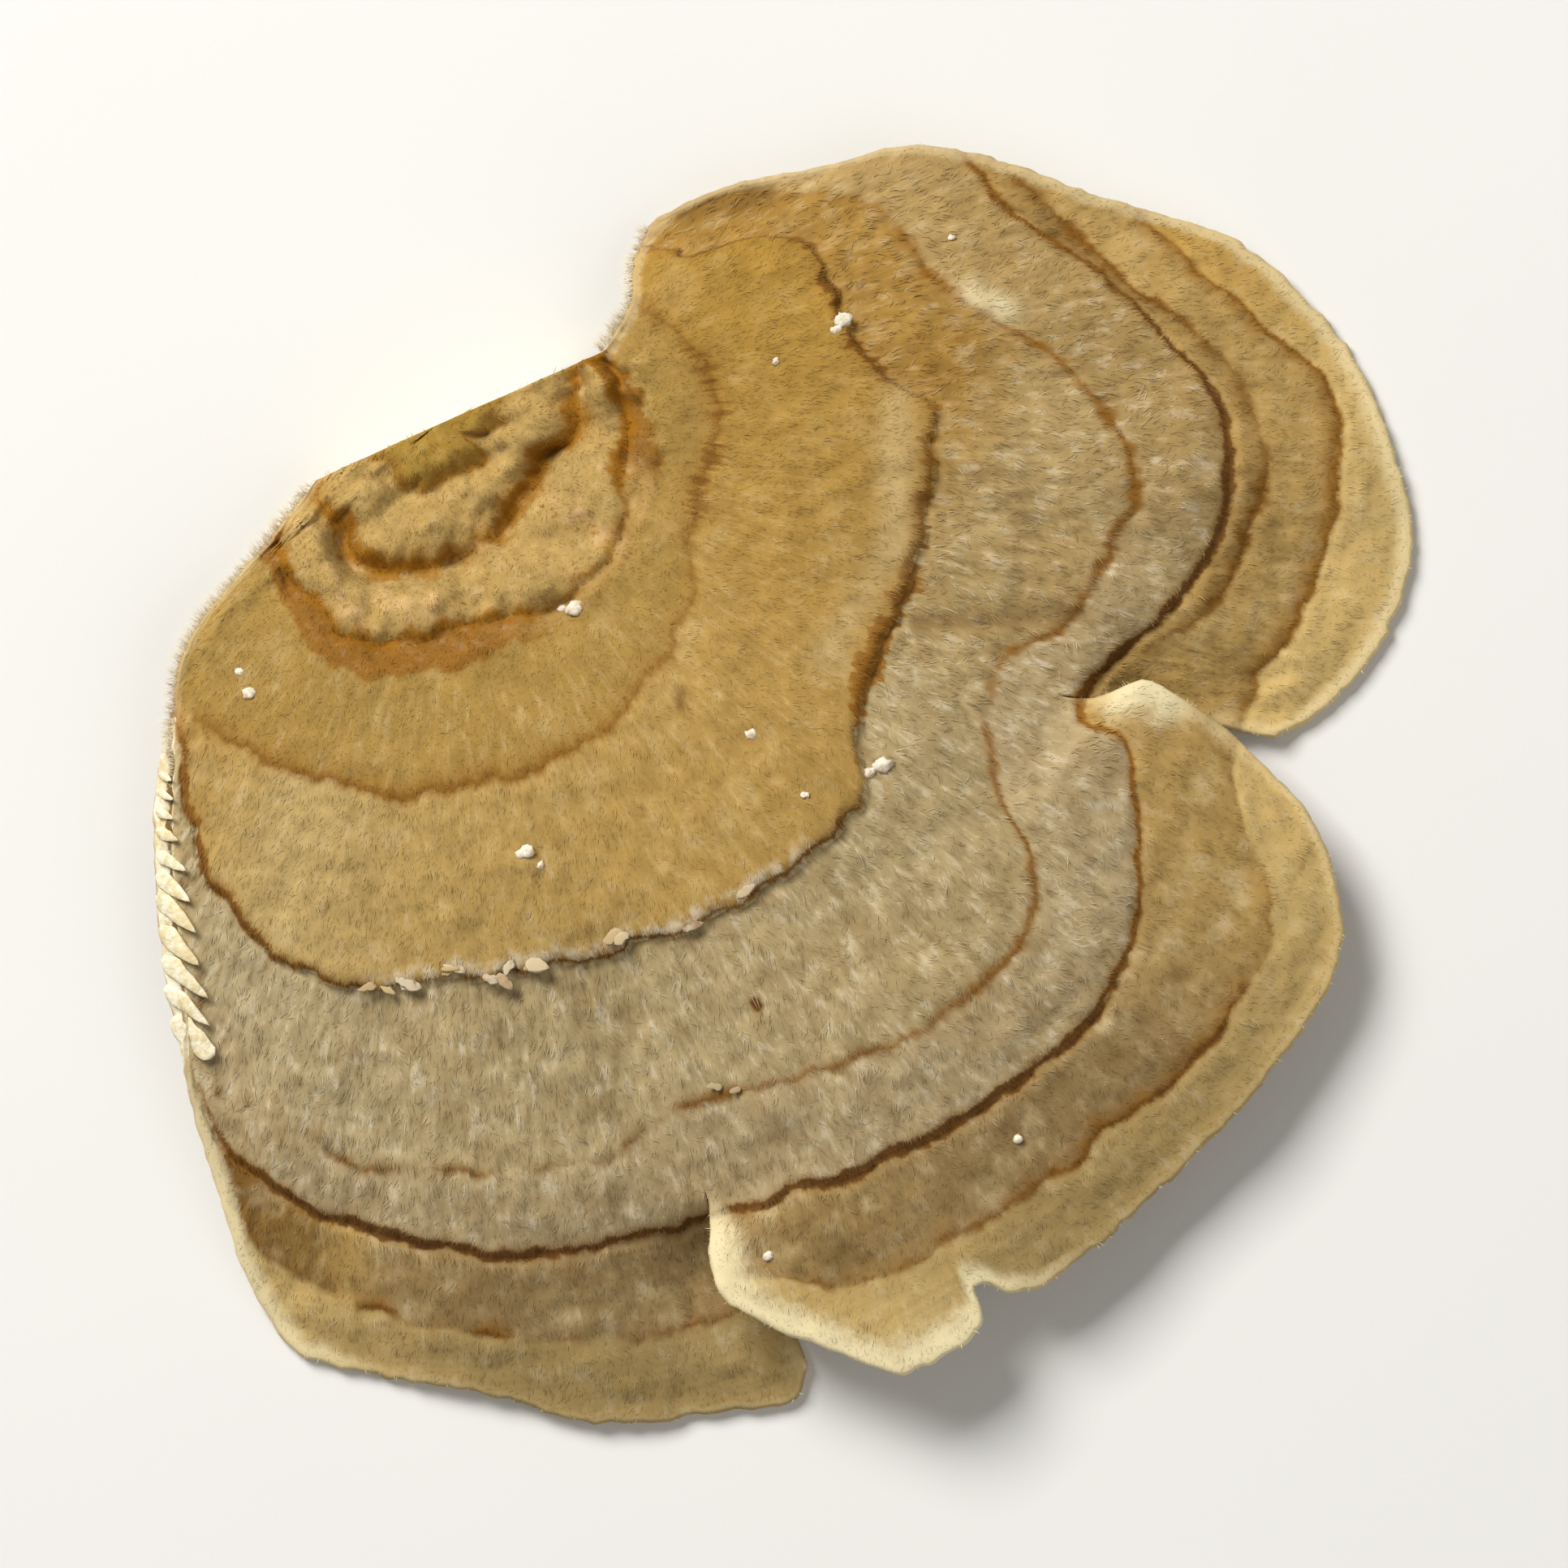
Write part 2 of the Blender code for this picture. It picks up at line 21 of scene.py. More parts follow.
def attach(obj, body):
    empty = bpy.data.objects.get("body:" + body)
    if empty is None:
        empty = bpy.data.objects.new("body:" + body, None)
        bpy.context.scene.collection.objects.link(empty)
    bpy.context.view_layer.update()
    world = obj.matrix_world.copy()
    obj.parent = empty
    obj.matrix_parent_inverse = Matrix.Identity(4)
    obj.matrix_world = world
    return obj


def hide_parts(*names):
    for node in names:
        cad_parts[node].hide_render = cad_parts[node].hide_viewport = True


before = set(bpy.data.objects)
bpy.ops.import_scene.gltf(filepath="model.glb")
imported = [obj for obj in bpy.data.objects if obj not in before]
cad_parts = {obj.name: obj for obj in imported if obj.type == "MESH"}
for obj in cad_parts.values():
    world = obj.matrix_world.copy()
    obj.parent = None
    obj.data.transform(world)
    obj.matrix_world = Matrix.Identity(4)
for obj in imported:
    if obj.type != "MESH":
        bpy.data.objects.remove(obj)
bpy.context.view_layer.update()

Array = NDArray[np.float64]
Numbers = NDArray[np.int64]
Marks = dict[str, Array]
Table = tuple[tuple[float, float], ...]
Material = bpy.types.Material
Piece = bpy.types.Object
Socket = bpy.types.NodeSocket
Draw = np.random.Generator

LOG = logging.getLogger("bracket")
MM = 0.001
# Stands for a distance where nothing is near
FAR = 99.0
# The growth centre in the frame, in millimetres
CENTRE = np.array([5.60449, -15.13529, 0.0])

# Bearings of the growth, the cut's two sides, the ear's tip and the slits
GROWTH_BEARING = 66.0
CUT_RIGHT_BEARING = GROWTH_BEARING - 90.0
CUT_LEFT_BEARING = GROWTH_BEARING + 90.0
EAR_TIP_BEARING = -42.7
RIGHT_SLIT = 23.4
LEFT_SLIT = 70.6
# How far the cut reaches to the right
CUT_REACH_RIGHT = 5.8
# Stages where the ear and the slits begin, of the soft line beside the sixth, and of the margin
EAR_STAGE = 3.5
SLIT_STAGE = 5.85
SOFT_STAGE = 6.2
LAST_STAGE = 8.0


def ease(t: Array) -> Array:
    """Rise from 0 to 1 that starts and ends level: 3t² - 2t³, with t held between 0 and 1."""
    t = np.clip(t, 0, 1)
    return t * t * (3 - 2 * t)


def ramp(value: Array, low: float, high: float) -> Array:
    """Ease from 0 at low to 1 at high."""
    return ease((value - low) / (high - low))


def bell(value: Array, width: float) -> Array:
    """Bump of height 1 around 0: e to the minus square of value over width."""
    return np.exp(-((value / width) ** 2))


def unit(vectors: Array) -> Array:
    """Vectors of length 1 in the same directions."""
    return vectors / np.maximum(np.linalg.norm(vectors, axis=-1, keepdims=True), 1e-9)


def circle(count: int) -> Array:
    """Angles of count even steps once round."""
    return np.linspace(0, 2 * np.pi, count + 1)[:-1]


def cloud(x: Array, y: Array, seed: int, octaves: int = 1) -> Array:
    """Smooth noise between -1 and 1 over a plane.

    Each corner of a unit lattice has a hashed value, and the four around a point are blended with
    an eased weight. Each further octave is half as strong and twice as fine.

    Args:
        x: first coordinate, in lattice cells.
        y: second coordinate, in lattice cells.
        seed: which noise.
        octaves: how many layers are summed.

    Returns:
        The noise at each point.
    """
    total = np.zeros(np.broadcast(x, y).shape)
    for octave in range(octaves):
        u = x * 2.0**octave + 17.3 * octave
        v = y * 2.0**octave + 5.7 * octave
        i = np.floor(u).astype(np.int64)
        j = np.floor(v).astype(np.int64)
        across = ease(u - i)
        along = ease(v - j)
        near = hashed(i, j, seed) * (1 - across) + hashed(i + 1, j, seed) * across
        far = hashed(i, j + 1, seed) * (1 - across) + hashed(i + 1, j + 1, seed) * across
        total += (near * (1 - along) + far * along) / 2.0**octave
    return total


def hashed(i: Numbers, j: Numbers, seed: int) -> Array:
    """Value between -1 and 1 for a lattice corner: its numbers and the seed, mixed by shifts.

    Args:
        i: the corner's first number.
        j: its second number.
        seed: which noise.

    Returns:
        The value of each corner.
    """
    mixed = (i * 374761393 + j * 668265263 + seed * 974634777) & 0xFFFFFFFF
    mixed = ((mixed ^ (mixed >> 13)) * 1274126177) & 0xFFFFFFFF
    return ((mixed ^ (mixed >> 16)) & 0xFFFF) / 32767.5 - 1.0


@dataclass(frozen=True)
class Course:
    """A smooth curve through given points, which never overshoots them.

    Attributes:
        points: the points, by rising first coordinate.
    """

    points: Table

    def at(self, where: Array) -> Array:
        """Read the curve.

        Between two points it is a cubic. The slope at a point is the harmonic mean of the slopes on
        both sides, or level where they point opposite ways.

        Args:
            where: places along the first coordinate.

        Returns:
            The second coordinate there, held at the ends.
        """
        x, y = np.array(self.points, float).T
        step = np.diff(x)
        slope = np.diff(y) / step
        product = slope[:-1] * slope[1:]
        total = np.where(product > 0, slope[:-1] + slope[1:], 1)
        tangent = np.concatenate([slope[:1], np.where(product > 0, 2 * product / total, 0), slope[-1:]])
        i = np.clip(np.searchsorted(x, where, side="right") - 1, 0, len(step) - 1)
        t = np.clip((where - x[i]) / step[i], 0, 1)
        start = (1 + 2 * t) * (1 - t) ** 2 * y[i] + t * (1 - t) ** 2 * step[i] * tangent[i]
        return start + t**2 * (3 - 2 * t) * y[i + 1] + t**2 * (t - 1) * step[i] * tangent[i + 1]


def level(value: float) -> Course:
    """The same value on every bearing."""
    return Course(((EAR_TIP_BEARING, value), (CUT_LEFT_BEARING, value)))


@dataclass(frozen=True)
class GrowthLine:
    """A growth line: where it runs and how it shows.

    Attributes:
        stage: its number, counted from the centre.
        course: its distance from the centre, by bearing.
        ink: how strongly it is drawn, by bearing. Under about 1 it breaks into dashes, over 1 it widens.
        teeth: how far dabs of it reach along the hairs, by bearing.
        warm: 0 where it is dark brown, 1 where it is rust, by bearing.
        width: half its drawn width.
        blur: how softly its sides fade.
        groove: depth of its furrow.
        spread: half the width of its furrow.
        shade: strength of the soft brown on its inner side.
        shade_width: how far that brown reaches.
    """

    stage: float
    course: Course
    ink: Course
    teeth: Course
    warm: Course
    width: float
    blur: float
    groove: float
    spread: float
    shade: float
    shade_width: float

    @property
    def mark(self) -> str:
        """Name of the attribute that carries this line."""
        return f"line_{round(self.stage * 10)}"

    @property
    def pace(self) -> float:
        """Factor on bearings in noise, so that wiggles are no shorter on a line near the centre."""
        return min(float(np.mean([far for _, far in self.course.points])) / 15.0, 1.0)


EVEN = level(0.03)
RUST = level(1.0)

LINES = (
    GrowthLine(
        1.0,
        Course(((-24, 2.3), (15, 1.6), (76, 1.7), (95, 2.1), (120, 2.3), (156, 2.2))),
        Course(((-43, 0.4), (40, 0.7), (100, 0.75), (150, 0.6), (156, 0.6))),
        EVEN, RUST, 0.05, 0.22, 0.3, 0.34, 0.4, 0.5,
    ),
    GrowthLine(
        2.0,
        Course(((-24, 4.9), (1.3, 4.4), (14, 3.7), (40, 3.4), (66, 3.9), (84.8, 4.4), (102.5, 4.6),
            (118, 4.9), (135, 4.4), (156, 4.1))),
        Course(((-43, 0.5), (-8, 1), (8, 1.5), (45, 1.4), (62, 0.7), (74, 0.5), (86, 1), (100, 1.5),
            (135, 1.5), (147, 0.8), (156, 0.4))),
        EVEN, RUST, 0.2, 0.2, 0.38, 0.4, 0.6, 0.8,
    ),
    GrowthLine(
        3.0,
        Course(((-24, 5.3), (-9.9, 6), (16, 6.2), (24, 6.5), (56.5, 6.7), (69.5, 6.3), (84.6, 6.4),
            (100, 6.9), (112, 7.2), (127, 6.6), (144.8, 6.2), (156, 6))),
        Course(((-43, 1.2), (-20, 2), (12, 2), (22, 0.5), (55, 0.45), (70, 1), (100, 1.2), (145, 1.1),
            (156, 0.8))),
        EVEN, RUST, 0.1, 0.16, 0.2, 0.22, 0.35, 0.5,
    ),
    GrowthLine(
        3.5,
        Course(((-24, CUT_REACH_RIGHT), (8, 7), (56, 7.4), (72, 7.2), (86, 7.6), (101, 8), (112, 8.2),
            (125, 7.7), (141.5, 6.9), (156, 6.6))),
        Course(((-43, 0.9), (8, 0.9), (18, 0.25), (56, 0.3), (68, 0.8), (80, 1), (146, 1), (156, 0.5))),
        EVEN, RUST, 0.04, 0.12, 0.06, 0.2, 0.0, 0.5,
    ),
    GrowthLine(
        4.0,
        Course(((-42, 7.9), (-31, 7.6), (-21, 8.1), (-6, 8.95), (4, 8.9), (21, 8.7), (33, 9.8), (49, 10.5),
            (65, 11.1), (82, 11.5), (95, 11.75), (114, 11.8), (130, 11.9), (156, 11))),
        Course(((-43, 0.2), (-24, 0.4), (-12, 0.75), (14, 0.7), (26, 0.45), (55, 0.6), (75, 0.9),
            (110, 0.95), (124, 0.7), (134, 0.15), (156, 0))),
        Course(((-43, 0.1), (-20, 0.3), (18, 0.3), (30, 0.08), (156, 0.05))),
        Course(((-43, 0.3), (-10, 0.3), (24, 0.4), (60, 0.6), (156, 0.6))),
        0.03, 0.22, 0.08, 0.22, 0.55, 1.0,
    ),
    GrowthLine(
        5.0,
        Course(((-42, 8.6), (-33.5, 9.8), (-30.6, 11.6), (-26, 13), (-14, 13.4), (-7, 14.1), (-1.5, 15.6),
            (16, 15.8), (29, 15.6), (37, 16.7), (42, 18), (59, 17.9), (75, 17.4), (88, 17.5), (99, 17.9),
            (107.5, 17.3), (114, 16.4), (122, 14.6), (130, 12.6), (141, 11.6), (156, 11.4))),
        Course(((-43, 0.7), (-36, 0.5), (-31, 0.6), (-24, 0.6), (-16, 1.3), (-13, 0.6), (-10, 1.8), (-7, 1),
            (-3, 0.5), (4, 0.85), (10, 0.75), (14, 0.95), (18, 2), (22, 1.4), (25, 2.2), (31, 2),
            (34.5, 1.4), (36, 0.5), (40, 0.3), (44, 0.85), (54, 0.85), (60, 0.6), (66, 0.9), (84, 0.7),
            (90, 0.35), (96, 0.7), (104, 1.3), (112, 1.6), (126, 1.7), (138, 0.6), (156, 0.3))),
        Course(((-43, 0.2), (-14, 0.15), (-4, 0.3), (10, 0.3), (34, 0.2), (46, 0.06), (156, 0.03))),
        Course(((-43, 0.8), (-16, 0.4), (-6, 0.6), (4, 1), (34, 1), (42, 0.3), (90, 0.25), (104, 0.6),
            (156, 0.8))),
        0.05, 0.06, 0.06, 0.16, 0.4, 0.6,
    ),
    GrowthLine(
        5.5,
        Course(((-42, 11), (-33, 13.6), (-24.3, 15.9), (-16.8, 16.4), (-11.6, 17.6), (-5.7, 20),
            (4.7, 22.2), (11.7, 21.6), (17.6, 20.9), (22.8, 19.3), (27, 19.7), (33.2, 21.4), (36.6, 23.7),
            (42.6, 24.8), (58, 23.9), (68.5, 22.9), (77.1, 23.7), (94.4, 23.6), (105, 21.6), (113, 18.9),
            (124, 15.8), (156, 13))),
        Course(((-43, 0.2), (-22, 0.4), (-17, 0.9), (-10, 0.9), (-4, 0.65), (2, 0.85), (8, 0.9), (14, 0.65),
            (18, 0.8), (25, 0.35), (33, 0.7), (43, 0.95), (50, 0.6), (58, 0.7), (63, 0.5), (69, 1.1),
            (71.5, 0.2), (75, 0.4), (80, 0.2), (84, 0.15), (88, 0.8), (91, 0.15), (95.5, 0.7), (98.5, 0.4),
            (101, 0.1), (156, 0))),
        Course(((-43, 0.1), (-10, 0.15), (20, 0.15), (40, 0.06), (156, 0.04))),
        Course(((-43, 0.9), (24, 0.85), (36, 0.8), (60, 0.6), (80, 0.45), (156, 0.4))),
        0.065, 0.15, 0.08, 0.2, 0.45, 0.6,
    ),
    GrowthLine(
        6.0,
        Course(((-42, 14), (-30, 18.6), (-21, 19.5), (-14.8, 21.1), (-6.7, 23.3), (-0.5, 25), (5.1, 25.2),
            (13.7, 24.1), (18, 23.2), (24, 22.3), (28.8, 25.1), (32.7, 26.5), (36.9, 27.5), (43.1, 27.9),
            (50.6, 27.6), (60.5, 27), (66.2, 26.7), (76.3, 26.6), (88.7, 26.1), (97.3, 25.3), (105.4, 24.1),
            (112, 21.4), (124, 17), (156, 14))),
        Course(((-43, 0.4), (-33, 0.7), (-24, 1), (-8, 1.2), (6, 1.5), (24, 1.4), (30, 1.1), (44, 1.5),
            (66, 1.5), (71, 1.2), (90, 1.5), (108, 1.4), (114, 0.8), (156, 0))),
        level(0.05),
        Course(((-43, 0.9), (-14, 0.6), (-4, 0.2), (20, 0.1), (23, 0.8), (30, 1), (38, 0.4), (44, 0.1),
            (100, 0.1), (106, 0.5), (156, 0.8))),
        0.075, 0.06, 0.15, 0.17, 0.45, 0.45,
    ),
    GrowthLine(
        SOFT_STAGE,
        Course(((-43, 15.5), (-24, 20), (-11.5, 22.4), (-8.2, 23.8), (-4.4, 25.1), (-1.6, 25.8),
            (3.4, 26.4), (6.8, 26), (10.4, 25.7), (13.9, 25.1), (18.3, 23.8), (156, 23.8))),
        Course(((-43, 0), (-24, 0.4), (-12, 0.95), (-5, 0.5), (0, 0.4), (4, 0.9), (9, 1), (15, 0.5),
            (20, 0.1), (22, 0), (156, 0))),
        level(0.15),
        Course(((-43, 0.8), (0, 0.5), (156, 0.4))),
        0.05, 0.14, 0.05, 0.16, 0.9, 1.1,
    ),
    GrowthLine(
        7.0,
        Course(((-42, 17), (-30, 20.8), (-16.3, 23.5), (-6.7, 26.5), (-2.4, 28.5), (3.2, 28.8), (9.9, 28.4),
            (19.1, 27.3), (24.3, 27.4), (28.4, 29.6), (32.2, 31.2), (37.8, 31.4), (45.1, 30.9), (60, 30.4),
            (64.9, 29.9), (68.6, 28.8), (73, 29.8), (83.9, 29.1), (94.7, 28.1), (101.3, 27), (106, 24.9),
            (112, 22.4), (124, 18), (156, 15))),
        Course(((-43, 0.3), (-20, 0.5), (-8, 0.8), (2, 1), (14, 1), (21, 0.5), (24, 0.25), (34, 0.3),
            (37, 1.1), (46, 1.2), (52, 0.6), (62, 0.4), (70, 0.3), (76, 0.5), (80, 0.05), (84.5, 0.1),
            (86.5, 1.2), (88.5, 0.2), (92, 0.1), (94, 1.3), (95.5, 0.2), (99, 0.1), (108, 0.3), (156, 0))),
        Course(((-43, 0.05), (24, 0.06), (40, 0.1), (72, 0.12), (156, 0.1))),
        Course(((-43, 1), (28, 0.9), (36, 0.3), (60, 0.5), (80, 0.3), (100, 0.3), (156, 0.6))),
        0.05, 0.1, 0.09, 0.18, 0.8, 0.8,
    ),
)
# The lines by stage, and those that shape the felt
LINE_AT = {line.stage: line for line in LINES}
SHAPING_LINES = tuple(line for line in LINES if line.stage != SOFT_STAGE)


@dataclass(frozen=True)
class Side:
    """A lobe's free side beyond a slit.

    Attributes:
        slit: bearing of the slit's tip.
        course: bearing of the side, by distance, from the tip outwards.
        spread: degrees over which the shift from the slit's bearing dies away.
        lift: how far the side stands above the fan, or below it.
        rim: width of its pale rim, by distance.
    """

    slit: float
    course: Course
    spread: float
    lift: float
    rim: Course

    @property
    def tip(self) -> float:
        """Distance of the slit's tip from the growth centre."""
        return self.course.points[0][0]

    def near(self, base: Array) -> Array:
        """1 on the slit's own ray, falling to 0 the spread away."""
        return 1 - ease(np.abs(base - self.slit) / self.spread)

    def across(self, base: Array, distance: Array) -> Array:
        """Distance along a ring to the slit's own ray."""
        return distance * np.radians(np.abs(base - self.slit))


@dataclass(frozen=True)
class Lobe:
    """One lobe of the cap, over the rays from the bearing first to the bearing last.

    Attributes:
        margin: distance of its margin, by bearing.
        first: bearing of its first ray.
        last: bearing of its last ray.
        sides: its free sides beyond the slits.
        curled: whether its rim turns up.
    """

    margin: Course
    first: float
    last: float
    sides: tuple[Side, ...]
    curled: bool = False

    # The lift of a side dies away over this share of its spread, and grows over rise_length
    lift_share: float = 0.62
    rise_length: float = 2.2
    thin_length: float = 1.2
    rim_width: float = 1.6
    samples: int = 2000
    # The upturned rim: bearing it starts at, degrees it takes, width and height; and the pit behind it
    curl_bearing: float = 55.0
    curl_over: float = 6.0
    curl_width: float = 2.8
    curl_height: float = 0.8
    pit_bearing: float = 64.1
    pit_distance: float = 29.8
    pit_degrees: float = 2.2
    pit_width: float = 0.9
    pit_depth: float = 0.35

    def bearing(self, base: Array, distance: Array) -> Array:
        """True bearing of the ray named base: its own, plus what each side's course shifts it by."""
        shifts = [(side.course.at(distance) - side.slit) * side.near(base) for side in self.sides]
        return sum(shifts, base + 0 * distance)

    def outline(self, base: Array) -> Array:
        """How far each ray runs: the margin's distance at the ray's true end."""
        shifts = [(side.course.points[-1][1] - side.slit) * side.near(base) for side in self.sides]
        return self.margin.at(sum(shifts, base))

    def lift(self, base: Array, distance: Array) -> Array:
        """Rise of the sides beyond the slits, a bell across the rays, and of the upturned rim.

        Args:
            base: the rays' bearings.
            distance: distances from the centre.

        Returns:
            Heights to add.
        """
        rise = 0 * distance
        for side in self.sides:
            beyond = ease((distance - side.tip) / self.rise_length)
            rise = rise + side.lift * beyond * bell(base - side.slit, self.lift_share * side.spread)
        if self.curled:
            near_rim = ease(1 - (self.outline(base) - distance) / self.curl_width)
            rise = rise + self.curl_height * near_rim * ease((base - self.curl_bearing) / self.curl_over)
        return rise

    def pit(self, base: Array, distance: Array) -> Array:
        """Depth of the pit behind the upturned rim, a round bell."""
        across = bell(base - self.pit_bearing, self.pit_degrees) * self.curled
        return self.pit_depth * across * bell(distance - self.pit_distance, self.pit_width)

    def side_gap(self, base: Array, distance: Array) -> tuple[Array, Array]:
        """Distance to the nearest free side, beyond its tip or straight to it, and its rim's width.

        Args:
            base: the rays' bearings.
            distance: distances from the centre.

        Returns:
            The distances, far where there is no such side, and the widths.
        """
        gap = FAR + 0 * distance
        rim = 0 * distance
        for side in self.sides:
            nearer = np.hypot(side.across(base, distance), np.maximum(side.tip - distance, 0))
            rim = np.where(nearer < gap, side.rim.at(distance), rim)
            gap = np.minimum(gap, nearer)
        return gap, rim

    def side_edge(self, base: Array, distance: Array) -> Array:
        """1 on the free sides beyond the tips, eased to 0 a rim's width inside them.

        Args:
            base: the rays' bearings.
            distance: distances from the centre.

        Returns:
            The share at each point.
        """
        edge = 0 * distance
        for side in self.sides:
            beyond = ease((distance - side.tip) / self.thin_length)
            inside = side.across(base, distance) / self.rim_width
            edge = np.maximum(edge, beyond * (1 - ease(inside)))
        return edge

    def rays(self, spacing: float, multiple: int) -> Array:
        """Bearings of rays whose ends lie evenly along the margin.

        Args:
            spacing: distance between neighbouring ends.
            multiple: the number of gaps is a multiple of this.

        Returns:
            The rays' bearings, from first to last.
        """
        fine = np.linspace(self.first, self.last, self.samples)
        x, y = place(self.bearing(fine, self.outline(fine)), self.outline(fine))
        length = np.concatenate([[0], np.cumsum(np.hypot(np.diff(x), np.diff(y)))])
        count = multiple * round(length[-1] / spacing / multiple)
        return np.interp(np.linspace(0, length[-1], count + 1), length, fine)


def place(bearing: Array, distance: Array) -> tuple[Array, Array]:
    """X and Y of a point: distance times the sine and cosine of its bearing from +Y."""
    angle = np.radians(bearing - GROWTH_BEARING)
    return distance * np.sin(angle), distance * np.cos(angle)


RIGHT_LOBE = Lobe(
    Course(((-42.7, 9.75), (-39.2, 11.9), (-33.3, 15), (-30.5, 17.4), (-26.4, 19.3), (-21.3, 21.2),
        (-17.2, 23.3), (-12.6, 26.3), (-8.4, 27.9), (-3, 29.6), (2.9, 30.7), (7.5, 31.3), (12.3, 30.9),
        (17.3, 29.7), (20.1, 28.5))),
    CUT_RIGHT_BEARING, RIGHT_SLIT,
    (Side(
        RIGHT_SLIT,
        Course(((21.5, 23.4), (22.4, 22.5), (23.1, 21.9), (24.2, 21.3), (26, 20.8), (28.5, 20.1))),
        10.0, -0.8, Course(((21.5, 0), (24, 0.05), (26, 0.2), (28.5, 0.4))),
    ),),
)
MIDDLE_LOBE = Lobe(
    Course(((22.9, 28.8), (23.9, 30.1), (27, 32), (29.7, 33.1), (33, 33.5), (40, 33.4), (48, 33.3),
        (53, 33.4), (56.2, 33.1), (57.2, 32.3), (58, 32.2), (58.8, 33.4), (61, 33.5), (63.2, 33.5),
        (65, 32.8), (66.8, 31.7), (69, 30.6), (71.2, 29.4))),
    RIGHT_SLIT, LEFT_SLIT,
    (
        Side(
            RIGHT_SLIT,
            Course(((21.5, 23.4), (22.4, 23.1), (23.1, 21.8), (24, 19.9), (25, 20.3), (26.5, 21.1),
                (28.8, 22.9))),
            9.0, 1.0,
            Course(((21.5, 0), (22.6, 0.2), (23.5, 0.95), (24.6, 0.95), (25.8, 0.35), (28.8, 0.25))),
        ),
        Side(
            LEFT_SLIT,
            Course(((25.7, 70.6), (26.2, 70.5), (26.9, 70.8), (27.7, 71.4), (28.5, 71.6), (29.4, 71.2))),
            9.0, 1.2, Course(((25.7, 0), (26.2, 0.3), (27.2, 0.9), (28.5, 1.2), (29.4, 1.2))),
        ),
    ),
    curled=True,
)
LEFT_LOBE = Lobe(
    Course(((68.6, 32.2), (70, 33), (74, 32.6), (80.7, 32.1), (86.8, 30.8), (92, 30.3), (97.8, 29.9),
        (101.6, 28.2), (105.7, 25.3), (110, 22.7), (116, 19.7), (119.8, 17.9), (123.6, 16.3), (128, 14.6),
        (133, 12.3), (139, 10.2), (142.5, 7.8), (145.5, 6.3), (152, 4.8), (156, 4.3))),
    LEFT_SLIT, CUT_LEFT_BEARING,
    (Side(
        LEFT_SLIT,
        Course(((25.7, 70.6), (26.2, 70.8), (26.9, 70.7), (27.7, 70.3), (29.4, 69.4), (30.8, 68.8),
            (32.2, 68.6))),
        10.0, -0.9, Course(((25.7, 0), (29, 0), (31, 0.2), (32.2, 0.3))),
    ),),
)


@dataclass(frozen=True)
class StainOrShade:
    """A mark on the felt: a crease, a speck, a pale band, or painted shade in a hollow.

    Attributes:
        start: bearing and distance of one end.
        end: those of the other.
        width: how far it reaches to each side.
        strength: how brown it is. Over 1 its middle is evenly dark, and below 0 it is pale.
        depth: how deep it is.
    """

    start: tuple[float, float]
    end: tuple[float, float]
    width: float
    strength: float
    depth: float = 0.0

    def at(self, x: Array, y: Array) -> Array:
        """A bell across the stretch from one end to the other, by the distance to it.

        Args:
            x: points across.
            y: points along the growth.

        Returns:
            1 on the stretch, falling to 0 beside it.
        """
        start = np.array(place(*self.start))
        along = np.array(place(*self.end)) - start
        x, y = x - start[0], y - start[1]
        share = np.clip((x * along[0] + y * along[1]) / (along @ along), 0, 1)
        return bell(np.hypot(x - share * along[0], y - share * along[1]), self.width)


STAINS_AND_SHADE = (
    StainOrShade((22.4, 16.6), (16.4, 21.4), 0.3, 0.55, 0.12),
    StainOrShade((60.9, 20.85), (60.9, 21.05), 0.17, 2.0, 0.05),
    StainOrShade((48.9, 11.8), (47.4, 11.5), 0.22, 0.9),
    StainOrShade((108.1, 22.1), (108.1, 22.3), 0.12, 1.2),
    StainOrShade((105.4, 22.15), (105.4, 22.35), 0.1, 1.0),
    StainOrShade((112.1, 19.6), (112.1, 19.8), 0.12, 1.2),
    StainOrShade((76.3, 14.3), (77.0, 14.6), 0.14, 0.7),
    # Brown in the pit behind the upturned rim: painted shade in its hollow
    StainOrShade((62.6, 29.6), (64.8, 29.9), 0.42, 0.6),
    StainOrShade((-40.6, 10.3), (-35.0, 12.9), 0.35, 0.75),
    StainOrShade((-13.9, 17.4), (-11.3, 18.5), 0.42, -0.8, -0.1),
    StainOrShade((-3.0, 14.6), (14.0, 15.0), 0.6, -0.26),
    StainOrShade((17.0, 14.9), (31.0, 14.4), 0.6, -0.2),
)
# The ear's free back edge: its distance by bearing, and its bearing by distance
EAR_BACK = Course(((-42.7, 9.3), (-39.5, 8.3), (-31.8, 7.4), (-24, CUT_REACH_RIGHT)))
EAR_BACK_BEARING = Course(((CUT_REACH_RIGHT, -24), (7.4, -31.8), (8.3, -39.5), (9.3, -42.7)))


